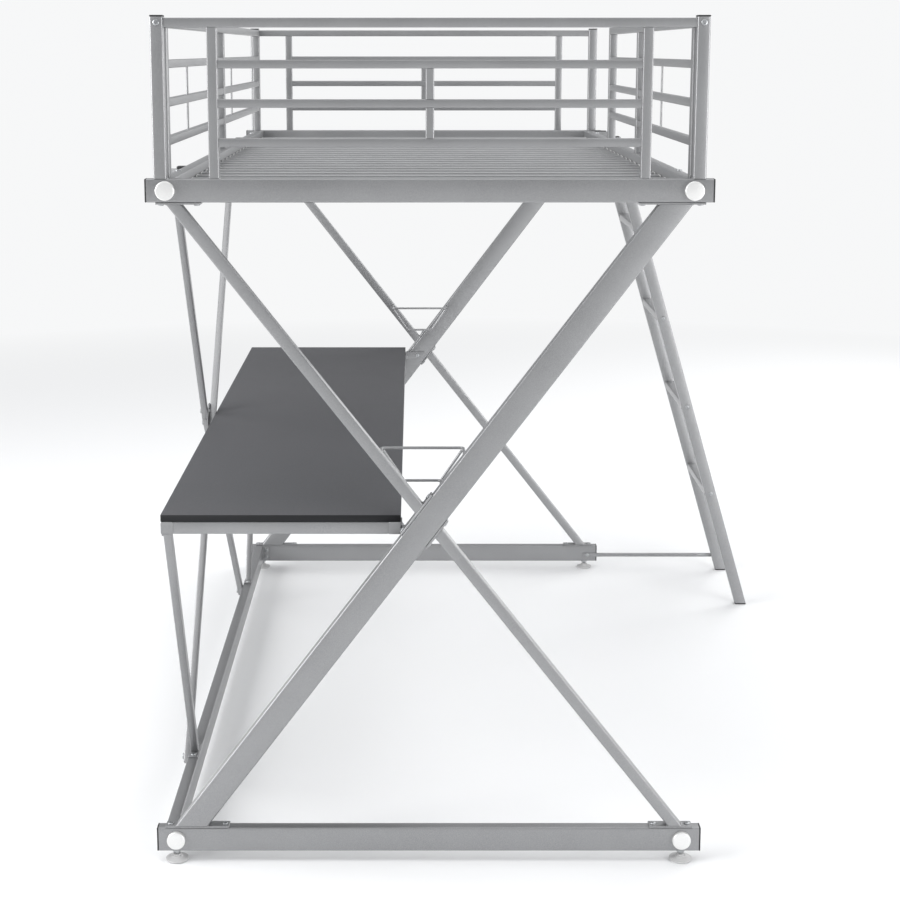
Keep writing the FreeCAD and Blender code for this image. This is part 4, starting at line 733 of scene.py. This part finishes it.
for end, side in ENDS:
    drill(PIECES[f"{end}_base_rail_tube"],
          [rod((x, side * END_MIDDLE, 20), (x, side * END_MIDDLE, 62), 4.6, 32)
           for x in (-FOOT_X, FOOT_X)])
    print(end, "base rail:", len(PIECES[f"{end}_base_rail_tube"].data.polygons), "faces")

# %% [markdown]
# ## Weld beads
#
# Each tube is welded to its plate along the two edges that cross the plate. A bead is a turned
# shape too: nearly straight, round at its ends, and rippled once for each drop of metal. The
# radius is r * (1 - |2t - 1|^8)^(1/2) * (1 + a tenth of a sine), t being 0 to 1 along the bead.


# %% Beads at the plates and under the guards
def bead(start, end, radius=1.6, ripple=2.2, steps=10):
    """Weld bead from start to end."""
    start, end = np.asarray(start, float), np.asarray(end, float)
    length = np.linalg.norm(end - start)
    t = np.linspace(0, 1, int(length / 0.55))
    swell = np.sqrt(1 - np.abs(2 * t - 1) ** 8) * (1 + 0.1 * np.sin(2 * math.pi * t * length / ripple))
    return turned(radius * swell, t * length, start, end - start, steps)[:2]


def across(x, z, side, margin=2.0):
    """Bead that crosses an end frame at (x, z)."""
    return bead((x, side * (END_BACK + margin), z), (x, side * (END_FACE - margin), z))


# half the width of a slanting tube where a level plane cuts it, or the leg's plane
leg_half, brace_half = LEG_WIDE / 2 / leg_along[2], BRACE_WIDE / 2 / brace_along[2]
joint_half = BRACE_WIDE / 2 / (leg_out @ brace_along)
for end, side in ENDS:
    beads = [across(point[0] + s * half, point[2], side)
             for half, points in ((leg_half, (leg_low, leg_high)),
                                  (brace_half, (brace_low, brace_high)))
             for point in points for s in (-1, 1)]
    for _, tip, face, _ in HALVES:
        for s in (-1, 1):
            x, _, z = brace_root(tip, face) + s * leg_along * joint_half
            beads.append(across(x, z, side))
    beads += [across(s * x, DECK_TOP, side, 4.0) for x in (400.5, 419.5, 500) for s in (-1, 1)]
    piece(f"{end}_weld_beads", beads, sharp=60)
print("beads at each end:", len(beads))

# %% [markdown]
# ## Plastic caps on the tube ends
#
# Open tubes get black plastic caps. They are the tube's own section, three millimetres thick,
# with a softer edge than the steel.

# %% Rail caps and post caps
rail_caps = [end_block(side, sign * half, sign * (half + CAP), low, top, 3, 1.1)
             for side in (-1, 1) for sign in (-1, 1) for _, half, low, top in RAILS]
piece("rail_cap_blocks", rail_caps, ["rail_end_caps"], slot="black_plastic")
post_caps = [end_block(side, sign * 500, sign * 525, POST_TOP, POST_TOP + CAP, 3, 1.1)
             for side in (-1, 1) for sign in (-1, 1)]
piece("post_cap_blocks", post_caps, ["post_caps"], slot="black_plastic")
print("caps:", len(rail_caps), "on rails and", len(post_caps), "on posts")

# %% [markdown]
# ## Screws
#
# The CAD model knows where each screw sits, so nothing is typed in again: a node of screws is
# split into its separate solids, and each solid tells its own axis. Corners that share a place
# get one number, and every triangle passes on the smallest number it touches until nothing
# changes, which leaves one number per solid. The long direction of a solid's points is the
# screw's axis, and the wide end is the head. Each head is then a button with a hexagon socket.


# %% Find each screw and make its head
def solids_of(node):
    """Point clouds, one per separate solid of a CAD node, in millimetres."""
    mesh = frame["nodes"][node].data
    points = np.empty(len(mesh.vertices) * 3, np.float32)
    mesh.vertices.foreach_get("co", points)
    corners = np.empty(len(mesh.loops), np.int32)
    mesh.loops.foreach_get("vertex_index", corners)
    places, place_of = np.unique(points.reshape(-1, 3).round(5), axis=0, return_inverse=True)
    triangles = place_of.ravel()[corners].reshape(-1, 3)
    label = np.arange(len(places))
    while True:
        least = label[triangles].min(1)
        new = label.copy()
        np.minimum.at(new, triangles.ravel(), np.repeat(least, 3))
        if np.array_equal(new, label):
            break
        label = new
    return [to_bed(places[label == value]) for value in np.unique(label)]


def button_screw(points, steps=36):
    """Button head with a hexagon socket, and its shank, in the place of a plain screw."""
    middle = points.mean(0)
    axis = np.linalg.svd(points - middle, full_matrices=False)[2][0]
    reach = (points - middle) @ axis
    off = np.linalg.norm(points - middle - reach[:, None] * axis, axis=1)
    if off[reach > 0].max() < off[reach < 0].max():
        axis, reach = -axis, -reach
    head_r = off.max()
    wide = off > head_r * 0.93
    top, under, tip = reach.max(), reach[wide].min(), reach.min()
    shank_r = off[reach < tip + 0.01].max()
    line = (points[wide].max(0) + points[wide].min(0)) / 2
    origin = line + axis * (top - (line - middle) @ axis)
    tall = top - under
    socket = hexagon(full_turn(steps), head_r * 0.38)
    rise = np.linspace(0.12, math.pi / 2, 5)
    dome_r = head_r * (0.55 + 0.45 * np.cos(math.pi / 2 - rise[::-1]))
    dome_z = -tall * (0.06 + 0.6 * (1 - np.sin(rise)))
    ring = np.ones(steps)
    rows = [0 * ring, shank_r * 0.9 * ring, shank_r * ring, shank_r * ring, head_r * 0.97 * ring,
            head_r * ring]
    heights = [tip - top, tip - top, tip - top + 0.5, -tall, -tall, -tall * 0.9]
    rows += [r * ring for r in np.sort(dome_r)[::-1]] + [socket * 1.08, socket, socket * 0.97,
                                                         0 * ring]
    heights += list(np.sort(dome_z)) + [0, -tall * 0.1, -tall * 0.6, -tall * 0.66]
    return turned(np.stack(rows), heights, origin, axis, steps)


count = 0
for node in ("frame_screws", "guard_screws", "desk_screws", "wall_side_screws", "ladder_screws"):
    screws = [button_screw(points) for points in solids_of(node)]
    turned_piece(node.replace("screws", "socket_screws"), screws, [node], "frame", "zinc_steel", 35)
    count += len(screws)
print("screws:", count)

# %% [markdown]
# ## Shader maths as plain expressions
#
# A finish is a graph of nodes, and a graph is hard to read as code. The small class below wraps
# one output socket, so that `speckle * 0.1 + 0.4` adds the Math nodes for it. Colours go
# through a Mix node instead, because a Math node would turn them grey.


# %% Sockets as numbers
class Signal:
    """One number on its way through the shader; + - * make Math nodes."""

    def __init__(self, finish, socket):
        self.finish, self.socket = finish, socket

    def _math(self, operation, *values):
        return self.finish.node("ShaderNodeMath", {"operation": operation}, *values)

    def __add__(self, other):
        return self._math("ADD", self, other)

    def __sub__(self, other):
        return self._math("SUBTRACT", self, other)

    def __mul__(self, other):
        return self._math("MULTIPLY", self, other)

    def __rsub__(self, other):
        return self._math("SUBTRACT", other, self)

    __radd__, __rmul__ = __add__, __mul__


class Finish:
    """A material whose nodes are added by calls."""

    def __init__(self, name, **fixed):
        self.material = bpy.data.materials.new(name)
        self.material.use_nodes = True
        self.tree = self.material.node_tree
        self.surface = self.tree.nodes["Principled BSDF"]
        for socket, value in fixed.items():
            self.surface.inputs[socket.replace("_", " ").title().replace("Ior", "IOR")
                                ].default_value = value

    def node(self, kind, settings, *values, output=0, **named):
        """Adds a node: its settings first, then the values or links of its sockets."""
        node = self.tree.nodes.new(kind)
        for key, value in settings.items():
            setattr(node, key, value)
        for key, value in list(enumerate(values)) + list(named.items()):
            socket = node.inputs[key.replace("_", " ") if isinstance(key, str) else key]
            if isinstance(value, Signal):
                self.tree.links.new(value.socket, socket)
            else:
                socket.default_value = value
        return Signal(self, node.outputs[output])

    def place(self):
        """The point's own place in metres."""
        return self.node("ShaderNodeTexCoord", {}, output="Object")

    def noise(self, spot, scale, detail=2.0, rough=0.5):
        """Noise from 0 to 1; `scale` is how many of its lumps fit in a metre."""
        return self.node("ShaderNodeTexNoise", {}, Vector=spot, Scale=scale, Detail=detail,
                         Roughness=rough)

    def mix(self, factor, one, other):
        """Colour between two colours."""
        node = self.tree.nodes.new("ShaderNodeMix")
        node.data_type = "RGBA"
        for socket, value in zip([node.inputs[0]] + [s for s in node.inputs if s.type == "RGBA"],
                                 (factor, one, other)):
            if isinstance(value, Signal):
                self.tree.links.new(value.socket, socket)
            else:
                socket.default_value = value if socket == node.inputs[0] else (*value, 1.0)
        return Signal(self, next(s for s in node.outputs if s.type == "RGBA"))

    def ramp(self, value, low, high):
        """0 below low, 1 above high, straight in between."""
        return self.node("ShaderNodeMapRange", {"clamp": True}, value, low, high, 0.0, 1.0)

    def bump(self, height, strength, distance):
        """Normal that tilts as if the surface stood `distance` higher where height is 1."""
        return self.node("ShaderNodeBump", {}, Height=height, Strength=strength, Distance=distance,
                         output="Normal")

    def wear(self, **sockets):
        """Links what varies over the surface to the shader, and gives the material."""
        for name, value in sockets.items():
            self.tree.links.new(value.socket, self.surface.inputs[name.replace("_", " ")])
        return self.material


FINISHES = {}
print("shader maths is ready")

# %% [markdown]
# ## Silver paint
#
# The tubes are sprayed with a silver-grey paint. It is a clear binder full of tiny aluminium
# flakes, so it is partly metallic, the flakes sparkle slightly, and the surface has the faint
# ripple that sprayers call orange peel. Three noises do it: one at half a millimetre for the
# flakes, one at a few millimetres for the ripple and one at a hand's width for the slow change
# of shade along a sprayed tube.

# %% Paint with flakes and orange peel
paint = Finish("silver paint", metallic=0.7, coat_weight=0.18, coat_roughness=0.22)
spot = paint.place()
flake = paint.ramp(paint.noise(spot, 1900.0, 1.0), 0.42, 0.66)
cloud = paint.noise(spot, 9.0, 3.0)
ripple = paint.noise(spot, 260.0, 2.0)
shade = paint.mix(flake, (0.27, 0.272, 0.278), (0.38, 0.383, 0.389))
shade = paint.mix(paint.ramp(cloud, 0.35, 0.7) * 0.35, shade, (0.37, 0.373, 0.380))
FINISHES["frame_paint"] = paint.wear(
    Base_Color=shade, Roughness=0.33 + cloud * 0.10, Normal=paint.bump(ripple, 0.03, 0.0002))
print("paint nodes:", len(paint.tree.nodes))

# %% [markdown]
# ## Charcoal laminate
#
# The desk's laminate is charcoal grey, with a low sheen and a fine pebbled texture that keeps
# fingerprints away. Below a thin top sheet the board is coloured nearly black: this is painted
# shade that keeps the edges and the underside darker than the top, and the height on the board
# chooses between the two. The pebble is a cell pattern about a millimetre across, and a slower
# noise makes some patches a touch smoother, as wiping does.

# %% Laminate with a pebbled surface
laminate = Finish("charcoal laminate", specular_ior_level=0.25)
spot = laminate.place()
pebble = laminate.node("ShaderNodeTexVoronoi", {"feature": "SMOOTH_F1"}, Vector=spot, Scale=900.0)
patch = laminate.noise(spot, 5.0, 4.0)
grain = laminate.noise(spot, 700.0, 2.0)
tone = laminate.mix(laminate.ramp(grain, 0.3, 0.7), (0.070, 0.071, 0.076), (0.098, 0.099, 0.105))
tone = laminate.mix(laminate.ramp(patch, 0.4, 0.7) * 0.25, tone, (0.105, 0.106, 0.112))
height = laminate.node("ShaderNodeSeparateXYZ", {}, spot, output="Z")
top = DESK_TOP * 0.001
# painted shade: below the top sheet the board is coloured nearly black, so its edges and underside stay
# darker than the top
above_painted_shade = laminate.ramp(height, top - 0.0009, top - 0.0006)
tone = laminate.mix(above_painted_shade, (0.014, 0.0145, 0.016), tone)
FINISHES["desk_laminate"] = laminate.wear(
    Base_Color=tone, Roughness=0.52 + patch * 0.12,
    Normal=laminate.bump(pebble, 0.22, 0.0004))
print("laminate nodes:", len(laminate.tree.nodes))

# %% [markdown]
# ## Spun caps
#
# The cover caps are finished on a lathe, which leaves rings that are too fine to count and a
# highlight that spreads across them. The caps carry their own coordinates, so the noise is
# stretched round the turn and squeezed along the profile: rings that wander only a little.

# %% Spun metal
spun = Finish("spun metal", metallic=0.6)
turn = spun.node("ShaderNodeAttribute", {"attribute_name": "spin"}, output="Vector")
turn = spun.node("ShaderNodeMapping", {}, Vector=turn, Scale=(0.7, 0.7, 5.0))
ring = spun.noise(turn, 2.2, 3.0, 0.6)
haze = spun.noise(spun.place(), 60.0, 2.0)
FINISHES["cover_cap_metal"] = spun.wear(
    Base_Color=spun.mix(spun.ramp(ring, 0.3, 0.7), (0.76, 0.76, 0.75), (0.90, 0.90, 0.89)),
    Roughness=0.26 + ring * 0.14 + haze * 0.05, Normal=spun.bump(ring, 0.12, 0.0003))
print("spun nodes:", len(spun.tree.nodes))

# %% [markdown]
# ## Plastics and zinc
#
# The black caps and the pale feet are moulded: their mould was eroded with sparks, which leaves
# a fine even grain, and handling polishes some of it away. Screws, nuts and stems are zinc
# plated, a cool grey that varies in patches where the crystals grew. One function makes each
# plastic, because only its colours and its grain differ.


# %% Moulded plastic and plated steel
def moulded(slot, dark, light, rough, grain_scale):
    """Moulded plastic: spark-eroded grain, and a slow noise for handling."""
    plastic = Finish(slot.replace("_", " "), specular_ior_level=0.45)
    spot = plastic.place()
    grain = plastic.noise(spot, grain_scale, 3.0, 0.6)
    rubbed = plastic.noise(spot, 45.0, 2.0)
    FINISHES[slot] = plastic.wear(
        Base_Color=plastic.mix(plastic.ramp(grain, 0.3, 0.7), dark, light),
        Roughness=rough - plastic.ramp(rubbed, 0.5, 0.75) * 0.12,
        Normal=plastic.bump(grain, 0.25, 0.0003))


moulded("black_plastic", (0.012, 0.012, 0.013), (0.028, 0.028, 0.03), 0.5, 1400.0)
moulded("foot_plastic", (0.50, 0.50, 0.50), (0.60, 0.60, 0.60), 0.46, 1100.0)
moulded("pale_plastic", (0.62, 0.62, 0.61), (0.72, 0.72, 0.71), 0.42, 1100.0)
zinc = Finish("zinc plate", metallic=0.92)
spot = zinc.place()
crystal = zinc.node("ShaderNodeTexVoronoi", {"feature": "F1"}, Vector=spot, Scale=420.0,
                    output="Distance")
stain = zinc.noise(spot, 90.0, 3.0)
FINISHES["zinc_steel"] = zinc.wear(
    Base_Color=zinc.mix(zinc.ramp(stain, 0.35, 0.7), (0.36, 0.37, 0.38), (0.56, 0.57, 0.58)),
    Roughness=0.28 + stain * 0.16 + crystal * 0.08, Normal=zinc.bump(stain, 0.1, 0.0003))
print("finishes:", sorted(FINISHES))

# %% [markdown]
# ## Putting the finishes on
#
# New pieces know the record's slot that they belong to. The nodes of the CAD model that are
# still shown, which are bolts and blocks inside the tubes, get the finish of their own slot.

# %% Finish every piece and every node that still shows
for obj in PIECES.values():
    obj.data.materials.append(FINISHES[obj["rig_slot"]])
slot_of = {row["node"]: row["material_slot"] for row in frame["record"]["subparts"]}
kept = [name for name, node in frame["nodes"].items() if not node.hide_render]
for name in kept:
    node = frame["nodes"][name]
    for i in range(len(node.material_slots)):
        node.material_slots[i].link = "OBJECT"
        node.material_slots[i].material = FINISHES[slot_of[name]]
print("CAD nodes still shown:", kept)

# %% [markdown]
# ## Floor
#
# A furniture studio has a pale floor that runs into a white background with no edge. The floor
# here is one grid whose finish fades from matt pale grey under the bed to plain white light far
# away.

# %% Floor
WHITE = (0.93, 0.935, 0.94)
x, y = np.meshgrid(np.linspace(-30, 30, 25), np.linspace(-30, 30, 25))
points = np.stack([x.ravel(), y.ravel(), np.full(x.size, -0.0005)], 1)
mesh = bpy.data.meshes.new("studio_floor")
mesh.from_pydata(points.tolist(), [], grid_faces(25, 25, False).tolist())
floor = placed("studio_floor", mesh)
paper = Finish("studio floor", roughness=0.85, specular_ior_level=0.1)
paper.surface.inputs["Base Color"].default_value = (0.86, 0.865, 0.87, 1)
far_off = paper.node("ShaderNodeVectorMath", {"operation": "LENGTH"}, paper.place(),
                     output="Value")
glow = paper.node("ShaderNodeEmission", {}, Color=(*WHITE, 1), Strength=1.0)
shown = paper.node("ShaderNodeMixShader", {}, paper.ramp(far_off, 2.2, 6.0),
                   Signal(paper, paper.surface.outputs[0]), glow)
paper.tree.links.new(shown.socket, paper.tree.nodes["Material Output"].inputs[0])
floor.data.materials.append(paper.material)
print("floor:", len(mesh.polygons), "quads")

# %% [markdown]
# ## Room
#
# The camera sees a white room, while the steel sees a greyer one, because polished metal in a
# pure white room has no shape. A Light Path node tells the two apart.

# %% World
world = bpy.data.worlds.new("studio")
bpy.context.scene.world = world
world.use_nodes = True
links, nodes = world.node_tree.links, world.node_tree.nodes
room = nodes["Background"]
room.inputs[0].default_value, room.inputs[1].default_value = (0.80, 0.81, 0.83, 1), 0.54
paper_white = nodes.new("ShaderNodeBackground")
paper_white.inputs[0].default_value = (*WHITE, 1)
either = nodes.new("ShaderNodeMixShader")
path = nodes.new("ShaderNodeLightPath")
links.new(path.outputs["Is Camera Ray"], either.inputs[0])
links.new(room.outputs[0], either.inputs[1])
links.new(paper_white.outputs[0], either.inputs[2])
links.new(either.outputs[0], nodes["World Output"].inputs[0])
bpy.context.scene.view_settings.view_transform = "Standard"
print("world nodes:", len(nodes))

# %% [markdown]
# ## Lamps
#
# The key light stands low on the left, so that it reaches under the deck without throwing the
# slats' shadows on everything. A weaker one fills from the right, another rims the far side and
# a wide one hangs overhead.


# %% Soft lamps
def soft_lamp(name, spot, aim, size, watts):
    """Square area lamp that looks at a point."""
    lamp = bpy.data.lights.new(name, "AREA")
    lamp.size, lamp.energy = size, watts
    obj = placed(name, lamp)
    obj.location = spot
    back = np.asarray(spot, float) - np.asarray(aim, float)
    pitch = math.atan2(math.hypot(back[0], back[1]), back[2])
    obj.rotation_euler = (pitch, 0, math.atan2(back[1], back[0]) + math.pi / 2)


soft_lamp("key", (-4.4, -1.6, 2.5), (0, 0, 0.8), 3.6, 250)
soft_lamp("fill", (3.4, -3.2, 1.2), (0, 0, 0.7), 2.5, 95)
soft_lamp("rim", (3.2, 3.8, 2.6), (0, 0, 0.9), 3.4, 120)
soft_lamp("sky", (0.0, 0.0, 5.2), (0, 0.001, 0), 6.0, 150)

# %% [markdown]
# ## Camera
#
# The bed is seen square on to its end, from above the guards. A long lens keeps the far end
# close in size to the near one. The camera tips down a little, and a small lens shift does the
# rest, as on a view camera, so that the uprights stay nearly upright.

# %% Camera
lens = bpy.data.cameras.new("camera")
lens.lens, lens.sensor_width = 66.26, 36.0
lens.shift_x, lens.shift_y = 0.0401, -0.1311
camera = placed("camera", lens)
camera.location = to_frame((-30.3, -4131.8, 1628.8))
camera.rotation_euler = (math.radians(90 - 9.636), 0, 0)
lens.clip_end = 100
bpy.context.scene.camera = camera
print("camera at", [round(c, 3) for c in camera.location])
